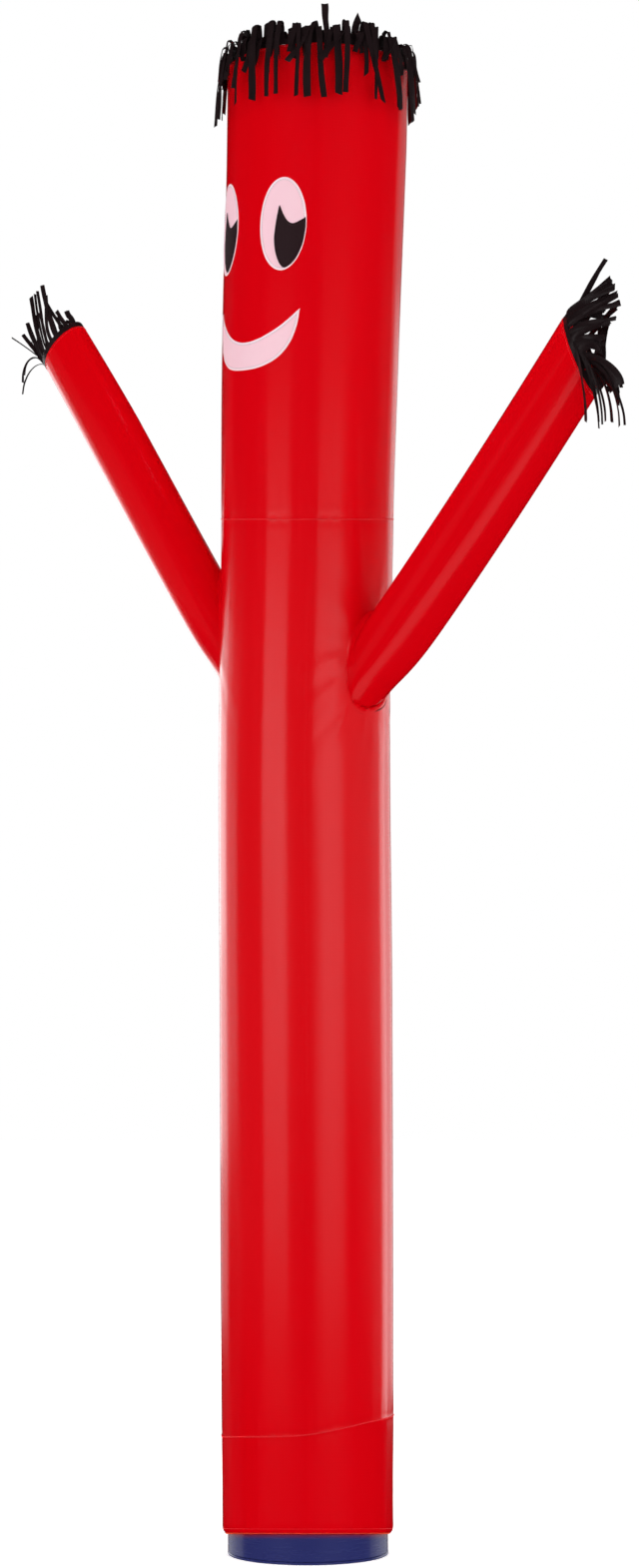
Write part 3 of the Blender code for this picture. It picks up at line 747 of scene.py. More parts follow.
def black_ribbon():
    """Black nylon strip with lengthwise threads."""
    material = base_material("black_nylon_ribbon", BLACK, 0.38, Specular_IOR_Level=0.35)
    height, _ = weave(material, RIBBON_PITCH)
    worn = noise(material, 24.0)
    shade = blend_colours(material, worn, BLACK, BLACK_WORN)
    rough = rescaled(material, worn, 0.18, 0.26)
    return finish(material, (height, 0.00012, 0.7), Base_Color=shade, Roughness=rough)


def face_cloth(name, inside, rim, rim_width):
    """Sewn-on face cloth: its second UV map holds the distance from its edge."""
    material = base_material(name, inside, 0.45)
    uv = node(material, "ShaderNodeUVMap", ("uv_map", "edge"))
    from_edge = node(material, "ShaderNodeSeparateXYZ", Vector=uv.outputs[0]).outputs[0]
    turned = maths(material, "LESS_THAN", from_edge, rim_width)
    height, _ = weave(material, THREAD_PITCH)
    cloudy = noise(material, 30.0)
    shade = blend_colours(material, maths(material, "MULTIPLY", cloudy, 0.25), inside, rim)
    shade = blend_colours(material, maths(material, "MULTIPLY", turned, 0.75), shade, rim)
    return finish(material, (height, 0.00010, 0.6), Base_Color=shade)


def blue_enamel():
    """Glossy enamel over metal, with fine scuffs, orange peel, and painted shadow and red
    reflection under the hem.
    """
    material = base_material("blue_ring_enamel", BLUE, 0.22, Coat_Weight=0.4, Coat_Roughness=0.12)
    tone = noise(material, 7.0, 4.0, (1.0, 1.0, 3.0))
    shade = blend_colours(material, tone, BLUE, BLUE_LIGHT)
    scuffs = noise(material, 40.0, 6.0, (0.6, 0.6, 6.0))
    scuffed = maths(material, "GREATER_THAN", scuffs, 0.76)
    shade = blend_colours(material, maths(material, "MULTIPLY", scuffed, 0.15), shade, BLUE_SCUFF)
    place = node(material, "ShaderNodeTexCoord").outputs["Object"]
    _, back, up = node(material, "ShaderNodeSeparateXYZ", Vector=place).outputs
    back = maths(material, "SUBTRACT", back, CENTRE.y)
    above = rescaled(material, back, HEM_TILT, maths(material, "SUBTRACT", up, HEM_HEIGHT))
    # painted shadow and painted red reflection of the cloth, darkest and reddest right under the
    # hem
    hem_shadow = node(material, "ShaderNodeMapRange", _0=above, _1=-HEM_SHADOW_START, _2=-HEM_SHADOW_END).outputs[0]
    shade = blend_colours(material, maths(material, "POWER", hem_shadow, 2.2), shade, PAINTED_HEM_SHADOW)
    rough = rescaled(material, scuffs, 0.30, 0.10)
    peel = (noise(material, 220.0, 2.0), 0.00012, 0.5)
    return finish(material, peel, Base_Color=shade, Roughness=rough)


HEM_SHADOW_START = 0.0115           # how far below the hem the painted shadow and red reflection of the cloth begin
HEM_SHADOW_END = 0.0005
RED = (0.70, 0.0002, 0.0040)
RED_DEEP = (0.65, 0.0001, 0.0028)
RED_BRIGHT = (0.75, 0.0004, 0.0060)
RED_LINE = (0.78, 0.0030, 0.0090)
# red thread lighter than the cloth: partly its own colour, partly a painted highlight of the glint
# along the seams
RED_THREAD_AND_GLINT = (0.95, 0.036, 0.046)
# dark thread colour that paints the shadow in the fold under each arm
PAINTED_CREASE_SHADOW = (0.045, 0.003, 0.005)
# light orange overlock thread: partly its own colour, partly a painted highlight of the hem's
# rolled edge
HEM_THREAD_AND_HIGHLIGHT = (0.95, 0.10, 0.035)
WHITE_INSIDE = (0.985, 0.615, 0.700)
WHITE_RIM = (0.99, 0.80, 0.84)
WHITE_THREAD = (0.62, 0.50, 0.54)
BLACK = (0.008, 0.0045, 0.005)
BLACK_WORN = (0.017, 0.010, 0.011)
BLUE = (0.022, 0.025, 0.125)
BLUE_LIGHT = (0.030, 0.038, 0.155)
BLUE_SCUFF = (0.10, 0.11, 0.25)
# colour of the painted shadow and red reflection under the hem
PAINTED_HEM_SHADOW = (0.250, 0.010, 0.021)
PUPIL = (0.019, 0.008, 0.010)

# Looks of the pieces: (material, slot)
LOOKS = {
    "red": (red_nylon(), "red_nylon"),
    "black": (black_ribbon(), "black_nylon"),
    "blue": (blue_enamel(), "blue_enamel"),
    "white": (face_cloth("white_face_nylon", WHITE_INSIDE, WHITE_RIM, 0.0046), "white_nylon"),
    "dark": (face_cloth("black_face_nylon", PUPIL, PUPIL, 0.0), "black_nylon"),
    "red_thread": (thread_material("red_thread", RED_THREAD_AND_GLINT), "red_nylon"),
    "hem_thread": (thread_material("hem_thread", HEM_THREAD_AND_HIGHLIGHT), "red_nylon"),
    "dark_thread": (thread_material("dark_thread", PAINTED_CREASE_SHADOW, 0.02), "red_nylon"),
    "white_thread": (thread_material("white_thread", WHITE_THREAD), "white_nylon"),
}


# ---- blower ring

RING_SIDES = 160
ROLL = 0.0026                 # radius of the ring's rolled lower edge
LIP = 0.0010                  # radius of its upper edge
WALL_INSET = 0.0006           # how far its wall lies inside the rolled edge
ROLL_STEPS, LIP_STEPS = 8, 4

# Heights of the rows on its wall: up its outer face, down its inner face
WALL_UP = (ROLL * 2 + 0.0012, 0.045, RING_HEIGHT - 0.008)
WALL_DOWN = (RING_HEIGHT - 0.004, ROLL * 2 + 0.001, ROLL)


def blower_ring():
    """Round metal outlet with rolled edges."""
    wall = RING_RADIUS - WALL_INSET
    inside = RING_RADIUS - RING_WALL
    roll = [pi * step / ROLL_STEPS for step in range(ROLL_STEPS + 1)]
    lip = [pi * step / LIP_STEPS for step in range(LIP_STEPS + 1)]
    outline = [(RING_RADIUS - ROLL + ROLL * sin(turn), ROLL - ROLL * cos(turn))
               for turn in roll]
    outline += [(wall, height) for height in WALL_UP]
    outline += [(wall - LIP * (1 - cos(turn)), RING_HEIGHT - LIP + LIP * sin(turn))
                for turn in lip]
    outline += [(inside, height) for height in WALL_DOWN]
    outline = [Vector(spot) for spot in outline]

    def point(row, turn):
        (radius, height), run = row
        place = CENTRE + direction(degrees(turn)) * radius + UP * height
        return place, (turn * RING_RADIUS, run)

    shape = new_shape()
    hoop(shape, list(zip(outline, run_lengths(outline))), RING_SIDES, point)
    return make_piece("ring_shell", shape, "blue", "blower_ring", 40)


# ---- cloth of the main tube

CUFF_GIRTH, BODY_GIRTH, HEAD_GIRTH = 0.1, 1.0, 2.4    # heights where the girths are measured

# Heights between which the rows lie close together; the cuff's are above its lower edge
CUFF_ZONES = ((0.0, 0.045), (0.165, 0.30))
BODY_ZONES = ((LOWER_SEAM - 0.03, LOWER_SEAM + 0.05), ARM_ZONE,
              (UPPER_SEAM - 0.05, UPPER_SEAM + 0.05))
HEAD_ZONES = ((UPPER_SEAM - 0.03, UPPER_SEAM + 0.05), (RIM_HEIGHT - 0.05, RIM_HEIGHT + 0.1))


def cuff_lift(turn, above, height):
    """Relief of the cuff's cloth at a distance above its lower edge."""
    tuck = tube_size(0.0)[0] - (RING_RADIUS + GAP + NYLON)
    lift = soft_relief(turn, height) - tuck * (1.0 - min(above / HEM_ROUND, 1.0)) ** 2
    lift += HEM_GATHER * waves(turn, PUCKER_WAVES) * fading(above, GATHER_START, GATHER_FADE)
    fold = hump(above - HEM_FOLD_HALF, HEM_FOLD_HALF, 4)
    return lift + HEM_FOLD * fold * min(above / HEM_FOLD_START, 1.0)


def cuff():
    """Lowest panel: a folded hem drawn in to the ring, and a sewn upper edge."""
    shares = row_places(HEM_ROUND, LOWER_SEAM - HEM_HEIGHT, CUFF_ZONES)[1:]
    rows = [(above, 0.0) for above in HEM_ROWS] + [(HEM_ROUND, share) for share in shares]
    span = tau * tube_size(CUFF_GIRTH)[0]

    def point(row, turn):
        azimuth = degrees(turn)
        low, top = hem(azimuth), lower_seam(azimuth) - GAP
        above = row[0] + (top - low - HEM_ROUND) * row[1]
        height = low + above
        lift = cuff_lift(turn, above, height) + seam_relief(height - top, turn)
        place = on_tube(azimuth, height, lift)
        place.x -= tube_size(height)[1] * max(1.0 - above / HEM_ROUND, 0.0)
        return place, (turn * span / tau, above)

    piece = cloth_tube("cuff_cloth", "base_cuff", rows, TUBE_SIDES, point, span)
    return piece, (span, LOWER_SEAM - HEM_HEIGHT)


def bore_radius(arm, turn):
    """Distance from an arm's axis to the edge of its hole in the body."""
    return arm.radius - arm.tucked(turn) - BORE_INSET


def open_bores(shape, loops):
    """Cut the arm holes out of the body's skin, their edges on the arms' own outline."""
    for arm in arms.values():
        inside = set()
        for vert in (vert for line in loops for vert in line if vert.is_valid):
            along, across, turn = arm.polar(vert.co)
            if abs(along) < JOINT_DEPTH and across < bore_radius(arm, turn):
                inside.add(vert)
        gone = [face for face in shape.faces if all(vert in inside for vert in face.verts)]
        bmesh.ops.delete(shape, geom=gone, context="FACES_ONLY")
        loose = [vert for vert in inside if not vert.link_faces]
        for vert in inside.difference(loose):
            for _ in range(BORE_ROUNDS):
                _, across, turn = arm.polar(vert.co)
                place = vert.co + arm.around(turn) * (bore_radius(arm, turn) - across) - CENTRE
                _, shift = tube_size(place.z)
                azimuth = degrees(atan2(place.x - shift, -place.y))
                vert.co = on_tube(azimuth, place.z, -BORE_SINK)
        bmesh.ops.delete(shape, geom=loose, context="VERTS")


def body():
    """Main panel, with the two arm holes."""
    span = tau * tube_size(BODY_GIRTH)[0]

    def point(share, turn):
        azimuth = degrees(turn)
        low, top = lower_seam(azimuth), upper_seam(azimuth)
        height = low + (top - low) * share
        lift = soft_relief(turn, height) + seam_relief(height - low, turn)
        lift += seam_relief(top - height, turn, 0.5 * SEAM_RIDGE)
        lift += joint_relief(on_tube(azimuth, height))
        return on_tube(azimuth, height, lift), (turn * span / tau, height)

    rows = row_places(LOWER_SEAM, UPPER_SEAM, BODY_ZONES)
    piece = cloth_tube("body_cloth", "body_panel", rows, TUBE_SIDES, point, span, open_bores)
    return piece, (span, UPPER_SEAM - LOWER_SEAM)


def head_lift(azimuth, height):
    """Relief of the head's cloth."""
    turn = radians(azimuth)
    low = upper_seam(azimuth) + GAP
    return (soft_relief(turn, height) + seam_relief(height - low, turn, 0.5 * SEAM_RIDGE)
            + seam_relief(RIM_HEIGHT - height, turn))


def head():
    """Top panel, up to its open rim."""
    span = tau * tube_size(HEAD_GIRTH)[0]

    def point(share, turn):
        azimuth = degrees(turn)
        low = upper_seam(azimuth) + GAP
        height = low + (RIM_HEIGHT - low) * share
        place = on_tube(azimuth, height, head_lift(azimuth, height))
        return place, (turn * span / tau, height)

    rows = row_places(UPPER_SEAM, RIM_HEIGHT, HEAD_ZONES)
    piece = cloth_tube("head_cloth", "head_panel", rows, TUBE_SIDES, point, span)
    return piece, (span, RIM_HEIGHT - UPPER_SEAM)


# ---- arms

ROOT_ROWS = 12                # rows of an arm's cloth in the curve at its start


def arm_lift(arm, turn, reach, start, end):
    """Relief of an arm's cloth at a distance along it."""
    near = reach - start
    lift = -arm.tucked(turn) * hump(max(near, 0.0), TUCK_LENGTH)
    curve = flange(turn)
    if near < curve:
        lift += curve * (1.0 - sqrt(1.0 - (1.0 - near / curve) ** 2))
    under = max(cos(turn + FOLD_TURN), 0.0) ** FOLD_POWER
    lift -= FOLD * under * hump(near - FOLD_PLACE, FOLD_HALF)
    grown = min(max(near - curve, 0.0) / SLEEVE_START, 1.0)
    lift += waves(turn, SLEEVE_WAVES) * exp(-near / SLEEVE_FADE) * grown
    soft = sum(size * sin(count * turn + rate * reach + phase)
               for size, count, rate, phase in SLEEVE_DRIFT)
    lift += soft * min(near / SLEEVE_DRIFT_START, 1.0)
    return lift + seam_relief(end - reach, turn * SLEEVE_PUCKERS, SLEEVE_RIDGE)


def arm_point(arm, turn, reach, start, end, extra=0.0):
    """Point of an arm's outer face."""
    radius = arm.radius + arm_lift(arm, turn, reach, start, end) + extra
    radius -= arm.drawn_in(turn, end - reach)
    return arm.base + arm.around(turn) * radius + arm.axis * reach + arm.sag(reach, end)


def arm_cloth(name):
    """Sleeve from its seam on the body to its open, slanted end."""
    arm = arms[name]
    span = tau * arm.radius
    shares = row_places(0.0, arm.length, ((-0.02, 0.11), (arm.length - 0.05, arm.length + 0.1)))
    rows = [shares[3] * (row / ROOT_ROWS) ** 2 for row in range(ROOT_ROWS)] + shares[3:]

    def point(share, turn):
        start, end = arm.ends(turn)
        reach = start + (end - start) * share
        return arm_point(arm, turn, reach, start, end), (turn * arm.radius, reach)

    piece = cloth_tube(f"arm_cloth_{name}", f"arm_{name}", rows, ARM_SIDES, point, span)
    return piece, (span, arm.length)


# ---- face pieces

def face_place(azimuth, height, tilt):
    """Placing function for a face piece: sizes on the unrolled cloth, turned by a tilt."""
    turn = radians(tilt)
    radius = tube_size(height)[0]

    def place(across, up, lift):
        level = across * cos(turn) + up * sin(turn)
        rise = up * cos(turn) - across * sin(turn)
        at = azimuth + degrees(level / radius)
        return on_tube(at, height + rise, lift + head_lift(at, height + rise))

    return place


def eye_edge(across):
    """Half the eye's height at a distance from its middle."""
    share = min(abs(across) / EYE_HALF_WIDTH, 1.0)
    return EYE_HALF_HEIGHT * sqrt(1.0 - share ** 2)


def eye_outline(share):
    """Oval, with its columns closer together towards its two ends."""
    across = -EYE_HALF_WIDTH * cos(pi * share)
    return across, -eye_edge(across), eye_edge(across)


def pupil_top(across):
    """Upper edge of the pupil: a spike on its left, a rounded notch, a rise on its right."""
    spike_x, spike_z = PUPIL_SPIKE
    notch_x, notch_z = PUPIL_NOTCH
    spike, notch, rise = PUPIL_CURVES
    if across < spike_x:
        share = (across - PUPIL_LEFT_EDGE) / (spike_x - PUPIL_LEFT_EDGE)
        return PUPIL_LEFT_HEIGHT + (spike_z - PUPIL_LEFT_HEIGHT) * share ** spike
    if across < notch_x:
        share = (notch_x - across) / (notch_x - spike_x)
        return notch_z + (spike_z - notch_z) * share ** notch
    share = (across - notch_x) / (EYE_HALF_WIDTH - notch_x)
    return notch_z + (PUPIL_RIGHT_HEIGHT - notch_z) * share ** rise


def pupil_outline(share):
    """Pupil low on the right of its eye, its right side along the eye's own edge."""
    right = EYE_HALF_WIDTH - PUPIL_INSET
    across = PUPIL_LEFT_EDGE + (right - PUPIL_LEFT_EDGE) * (1.0 - cos(pi * share)) / 2
    edge = eye_edge(across * EYE_HALF_WIDTH / right) * right / EYE_HALF_WIDTH
    curve = min((across - PUPIL_LEFT_EDGE) / (PUPIL_BELLY * right), 1.0)
    low = PUPIL_LEFT_HEIGHT + (-edge - PUPIL_LEFT_HEIGHT) * sqrt(curve * (2.0 - curve))
    return across, max(low, -edge), min(pupil_top(across), edge)


def mouth_outline(share):
    """Smiling crescent between a flat inner curve and a full outer curve."""
    across = -MOUTH_HALF_WIDTH * cos(pi * share)
    reach = min(abs(across) / MOUTH_HALF_WIDTH, 1.0)
    inner = MOUTH_INNER + (MOUTH_TIP_RISE - MOUTH_INNER) * reach ** 2
    fullness = 1.0 - (1.0 - reach ** MOUTH_POWER) ** (1.0 / MOUTH_POWER)
    outer = MOUTH_OUTER + (MOUTH_TIP_RISE - MOUTH_OUTER) * fullness
    return across, outer, inner


def edge_points(outline, columns):
    """The whole outline as a closed list of (across, up), lower edge first."""
    low = []
    high = []
    for column in range(columns + 1):
        across, bottom, top = outline(column / columns)
        low.append((across, bottom))
        high.append((across, top))
    return low + high[-2:0:-1]


def edge_distance(across, up, points):
    """Distance from a point to a closed outline."""
    best = inf
    for first, second in zip(points, points[1:] + points[:1]):
        run = (second[0] - first[0], second[1] - first[1])
        length = run[0] ** 2 + run[1] ** 2
        share = 0.0
        if length > 0.0:
            share = ((across - first[0]) * run[0] + (up - first[1]) * run[1]) / length
            share = min(max(share, 0.0), 1.0)
        best = min(best, hypot(across - first[0] - run[0] * share,
                               up - first[1] - run[1] * share))
    return best


def patch_relief(inward):
    """Relief of a face piece: its turned edge, the groove of its stitches and its round end."""
    relief = sum(size * hump(inward - place, half) for size, place, half in PATCH_HUMPS)
    return relief - PATCH_ROUND / 2 * max(1.0 - inward / PATCH_ROUND, 0.0)


def face_piece(name, node_name, outline, place, lift, look, columns, rows):
    """Sewn-on piece of cloth with a turned edge that stands a little proud."""
    shape = new_shape()
    edge_layer = shape.loops.layers.uv.new("edge")
    cloth_layer = shape.loops.layers.uv["cloth"]
    points = edge_points(outline, columns * 2)
    flat = {}
    grid = []
    for column in range(columns + 1):
        across, low, high = outline(column / columns)
        line = []
        for row in range(rows + 1):
            up = low + (high - low) * (1.0 - cos(pi * row / rows)) / 2
            inward = edge_distance(across, up, points)
            line.append(shape.verts.new(place(across, up, lift + PATCH + patch_relief(inward))))
            flat[line[-1]] = (across, up), (inward, 0.0)
        grid.append(line)
    for left, right in zip(grid, grid[1:]):
        for row in range(rows):
            face = shape.faces.new((left[row], right[row], right[row + 1], left[row + 1]))
            for loop in face.loops:
                loop[cloth_layer].uv, loop[edge_layer].uv = flat[loop.vert]
    bmesh.ops.remove_doubles(shape, verts=shape.verts, dist=MERGED)
    bmesh.ops.dissolve_degenerate(shape, edges=shape.edges, dist=DISSOLVED)
    thicken(shape, PATCH)
    return make_piece(name, shape, look, node_name)


def cut_area(outline):
    """Area of a face piece's flat cut."""
    points = edge_points(outline, AREA_COLUMNS)
    return abs(sum(first[0] * second[1] - second[0] * first[1]
                   for first, second in zip(points, points[1:] + points[:1]))) / 2


def stitch_path(outline, place, columns):
    """Points a little inside a face piece's edge, with their normals, for its stitches."""
    points = edge_points(outline, columns)
    line = []
    for before, (across, up), after in zip(points[-1:] + points, points, points[1:] + points[:1]):
        run = Vector((after[0] - before[0], after[1] - before[1])).normalized()
        moved = (across - run.y * STITCH_INSET, up + run.x * STITCH_INSET)
        if edge_distance(*moved, points) < STITCH_INSET * 0.9:
            continue
        here = place(*moved, PATCH_TOP)
        line.append((here, (place(*moved, PATCH_TOP + 0.01) - here).normalized()))
    return line


def face():
    """Eyes, pupils and mouth, with their stitches."""
    made = []
    stitches = bmesh.new()

    def sew(name, node_name, outline, place, size, grid, look="white", lift=PATCH_LIFT):
        piece = face_piece(name, node_name, outline, place, lift, look, *grid)
        made.append((piece, size, cut_area(outline)))

    for side, azimuth, height in EYES:
        place = face_place(azimuth, height, EYE_TILT)
        eye_size = (2 * EYE_HALF_WIDTH, 2 * EYE_HALF_HEIGHT)
        sew(f"eye_cloth_{side}", f"eye_{side}", eye_outline, place, eye_size, EYE_GRID)
        sew(f"pupil_cloth_{side}", f"pupil_{side}", pupil_outline, place, PUPIL_SIZE,
            PUPIL_GRID, "dark", PATCH_TOP + PUPIL_GAP)
        stitch_line(stitches, stitch_path(eye_outline, place, EYE_STITCHES))
    place = face_place(MOUTH_AZIMUTH, MOUTH_HEIGHT, MOUTH_TILT)
    mouth_size = (2 * MOUTH_HALF_WIDTH, MOUTH_TIP_RISE - MOUTH_OUTER)
    sew("mouth_cloth", "mouth", mouth_outline, place, mouth_size, MOUTH_GRID)
    stitch_line(stitches, stitch_path(mouth_outline, place, MOUTH_STITCHES))
    return made, make_piece("face_stitches", stitches, "white_thread")


# ---- ribbons

RIBBON_STEPS = 22
RIBBON_DEPTH = 0.0004
LEAN_POWER = 1.5
BAND_DEPTH = 0.0011
ROOT_INWARD = 0.0006          # how far inside the tube's face the ribbons are sewn on
ROOT_BEYOND = BAND * 0.6
RIBBON_CUT = 0.35             # slant of its cut end
RIBBON_WRING = 0.15           # small turns along it
RIBBON_FREE = 0.25            # share of its length from which it sways in full
RIBBON_UNEVEN = 0.05
RIBBON_CUP = 0.14
RIBBON_SHIFT = 0.013          # how far one ribbon's weave lies from the next one's
TWIST_POWER = 1.3
CURVE_STEPS = 12
BAND_SWELL = 0.0004

# Main ribbons of the hair that HAIR_FRONT doesn't list: (mean, spread) of the width, drop, lean
# and rise
HAIR_REST = ((1.0, 0.2), (0.68, 0.12), (0.0, 0.006), (0.018, 0.010))
OUTER_SHARE = -0.25           # those that vary more than this hang outside
HAIR_TWIST, HAIR_SWAY = 0.5, 0.0012
HAIR_ROOT = BAND * 0.4        # length of a ribbon that lies on its backing strip
HANG_SPREAD = 1.5             # degrees by which its hanging end strays

# Extra ribbons of the hair between them; every third one crosses its neighbours
EXTRA_SEED = 200
EXTRA_SCATTER = 0.7
EXTRA_FALLS = (1, -1, 1, -1, 1)
EXTRA_DROP, EXTRA_DROP_SPREAD, EXTRA_LONG = 0.16, 0.26, 0.36
EXTRA_RISE, CROSSING_RISE, EXTRA_RISE_SPREAD = 0.020, 0.013, 0.010
EXTRA_LEAN, CROSSING_LEAN = 0.020, 0.060
EXTRA_WIDTH, EXTRA_WIDTH_SPREAD = 0.80, 0.45
EXTRA_TWIST, EXTRA_SWAY = 1.6, 0.0020
EXTRA_INWARD, EXTRA_INWARD_SPREAD, EXTRA_BEYOND = 0.0012, 0.0008, BAND * 0.5

# How a companion in a hand strays from its ribbon: turn in degrees, along, under and aside
STRAY = (9.0, -0.010, 0.009, 0.010)
STRAY_ROOT = 0.0008
STRAY_THINNER = 0.25
STRAY_HANG = 0.2
HAND_TWIST, HAND_TWIST_POWER, HAND_SWAY = 0.45, 0.5, 0.0008
HAND_STEPS = 8
HAND_PULL, HAND_PULL_THROW = 0.62, 0.2


def bent_line(root, toward, across, lengths, bends, lean):
    """Ribbon line that turns from upright towards a level direction, and leans sideways."""
    total = sum(lengths)
    points = [root]
    run = previous = 0.0
    for length, bend in zip(lengths, bends):
        angle = radians((bend + previous) / 2)
        before = run / total
        run += length
        shift = lean * ((run / total) ** LEAN_POWER - before ** LEAN_POWER)
        move = UP * cos(angle) + toward * sin(angle)
        points.append(points[-1] + move * length + across * shift)
        previous = bend
    return points


def smooth_line(points, count):
    """Evenly spaced points on a smooth curve through some points."""
    spots = [points[0] * 2 - points[1], *points, points[-1] * 2 - points[-2]]
    dense = []
    for first, second, third, fourth in zip(spots, spots[1:], spots[2:], spots[3:]):
        for step in range(CURVE_STEPS):
            t = step / CURVE_STEPS
            dense.append(0.5 * (second * 2 + (third - first) * t
                                + (first * 2 - second * 5 + third * 4 - fourth) * t * t
                                + (second * 3 - first - third * 3 + fourth) * t ** 3))
    dense.append(points[-1])
    lengths = run_lengths(dense)
    line = []
    for number in range(count + 1):
        index, share = stretch_at(lengths, lengths[-1] * number / count)
        line.append(dense[index].lerp(dense[index + 1], share))
    return line, lengths[-1]


def ribbon(shape, points, across, width, seed, twist, sway, flare=0.0, twist_power=TWIST_POWER):
    """One thin strip of nylon along a path: cupped, a little twisted, its end cut off."""
    line, length = smooth_line(points, RIBBON_STEPS)
    flat = {}
    rings = []
    side = across.normalized()
    cut = RIBBON_CUT * vary(seed, 11)
    for number, place in enumerate(line):
        share = number / RIBBON_STEPS
        ahead = line[min(number + 1, RIBBON_STEPS)] - line[max(number - 1, 0)]
        tangent = ahead.normalized()
        side = (side - tangent * side.dot(tangent)).normalized()
        turn = twist * share ** twist_power + RIBBON_WRING * sin(5.0 * share + seed)
        turned = Matrix.Rotation(turn, 3, tangent) @ side
        face_way = turned.cross(tangent)
        free = min(share / RIBBON_FREE, 1.0)
        place = place + turned * (sway * free * sin(6.0 * share + 1.7 * seed))
        uneven = 1.0 + RIBBON_UNEVEN * sin(9.0 * share + seed)
        half = width * (1.0 + flare * share) / 2 * uneven
        cup = RIBBON_CUP * width * sin(2.4 * seed + 3.0 * share)
        ring = []
        for column, layer in ((-1, 1), (0, 1), (1, 1), (1, -1), (0, -1), (-1, -1)):
            depth = RIBBON_DEPTH / 2 * layer + cup * (1.0 - column ** 2)
            end = tangent * (cut * width * column) if number == RIBBON_STEPS else Vector()
            vert = shape.verts.new(place + turned * (half * column) + face_way * depth + end)
            flat[vert] = (width * (column + 1.0) / 2 + RIBBON_SHIFT * seed, length * share)
            ring.append(vert)
        rings.append(ring)
    faces = []
    for low, high in zip(rings, rings[1:]):
        for corner in range(6):
            after = (corner + 1) % 6
            faces.append((low[corner], high[corner], high[after], low[after]))
    for ring, order in ((rings[0], 1), (rings[-1], -1)):
        faces.append((ring[0], ring[1], ring[4], ring[5])[::order])
        faces.append(ring[1:5][::order])
    for corners in faces:
        add_face(shape, corners, [flat[vert] for vert in corners])


def band(shape, edge, sides, radius):
    """Strip that the ribbons are cut from, sewn along the edge of the tube."""
    def point(row, turn):
        height, inside = row
        swell = BAND_SWELL * sin(17 * turn) if 0.0 < height < BAND else 0.0
        return edge(turn, BAND_DEPTH if inside else -swell, GAP + height), (turn * radius, height)

    rows = ((0.0, False), (BAND * 0.5, False), (BAND, False), (BAND, True), (0.0, True))
    hoop(shape, rows, sides, point)


def hair_row(index):
    """Fall (1 outside, -1 inside, 0 stands), width, drop, lean and rise of a main ribbon."""
    half = HAIR_COUNT // 2
    place = (index + half) % HAIR_COUNT - half + len(HAIR_FRONT) // 2
    if 0 <= place < len(HAIR_FRONT):
        return HAIR_FRONT[place]
    fall = 1 if vary(index, 1) > OUTER_SHARE else -1
    return fall, *(mean + spread * vary(index, seed)
                   for seed, (mean, spread) in enumerate(HAIR_REST, 2))


def hair_edge(turn, inward, beyond):
    """Point past the tube's rim."""
    return on_tube(degrees(turn), RIM_HEIGHT, -inward) + UP * beyond


def hair_ribbon(shape, turn, root, fall, width, drop, lean, rise, seed, twist, sway):
    """One ribbon of the hair, from its root in the band."""
    out = direction(degrees(turn))
    across = UP.cross(out)
    drop *= HAIR_DROP
    flare = 0.0
    if fall == 0:
        lengths, bends, toward = (rise, drop / 3, drop / 3, drop / 3), HAIR_STAND_BENDS, -out
        flare = HAIR_STAND_FLARE
    else:
        hang = (drop + rise + HAIR_FOLD) / 2
        last = HAIR_HANG_BEND + HANG_SPREAD * vary(seed, 6)
        lengths = (rise, HAIR_FOLD, HAIR_FOLD, HAIR_FOLD, hang, hang)
        bends, toward = (*HAIR_FOLD_BENDS, last, last), out * fall
    points = bent_line(root, toward, across, lengths, bends, lean)
    ribbon(shape, points, across, RIBBON * width, seed, twist, sway, flare)


def hair():
    """Ring of ribbons round the tube's open top."""
    shape = new_shape()
    band(shape, hair_edge, TUBE_SIDES, tube_size(RIM_HEIGHT)[0])
    for index in range(HAIR_COUNT):
        turn = tau * index / HAIR_COUNT
        fall, width, drop, lean, rise = hair_row(index)
        root = hair_edge(turn, ROOT_INWARD, ROOT_BEYOND)
        hair_ribbon(shape, turn, root, fall, width, drop, lean, rise + HAIR_ROOT, index,
                    HAIR_TWIST * vary(index, 12), HAIR_SWAY)
    for index in range(HAIR_EXTRAS):
        seed = index + EXTRA_SEED
        turn = tau * (index + EXTRA_SCATTER * vary(seed, 1)) / HAIR_EXTRAS
        inward = EXTRA_INWARD + EXTRA_INWARD_SPREAD * vary(seed, 2)
        root = hair_edge(turn, inward, EXTRA_BEYOND)
        crossing = index % 3 == 1
        drop = EXTRA_DROP + EXTRA_DROP_SPREAD * abs(vary(seed, 3))
        drop += EXTRA_LONG if index % 9 == 3 else 0.0
        rise = (CROSSING_RISE if crossing else EXTRA_RISE) + EXTRA_RISE_SPREAD * vary(seed, 5)
        lean = (CROSSING_LEAN if crossing else EXTRA_LEAN) * vary(seed, 4)
        width = EXTRA_WIDTH + EXTRA_WIDTH_SPREAD * vary(seed, 6)
        hair_ribbon(shape, turn, root, EXTRA_FALLS[index % 5], width, drop, lean, rise, seed,
                    EXTRA_TWIST * vary(seed, 12), EXTRA_SWAY)
    return make_piece("hair_ribbons", shape, "black", "hair_fringe", 30)


def curve(root, pull_out, pull_in, tip):
    """Smooth path from a root to a tip, drawn towards two points between them."""
    return [root * (1 - t) ** 3 + pull_out * (3 * t * (1 - t) ** 2)
            + pull_in * (3 * t * t * (1 - t)) + tip * t ** 3
            for t in (step / HAND_STEPS for step in range(HAND_STEPS + 1))]


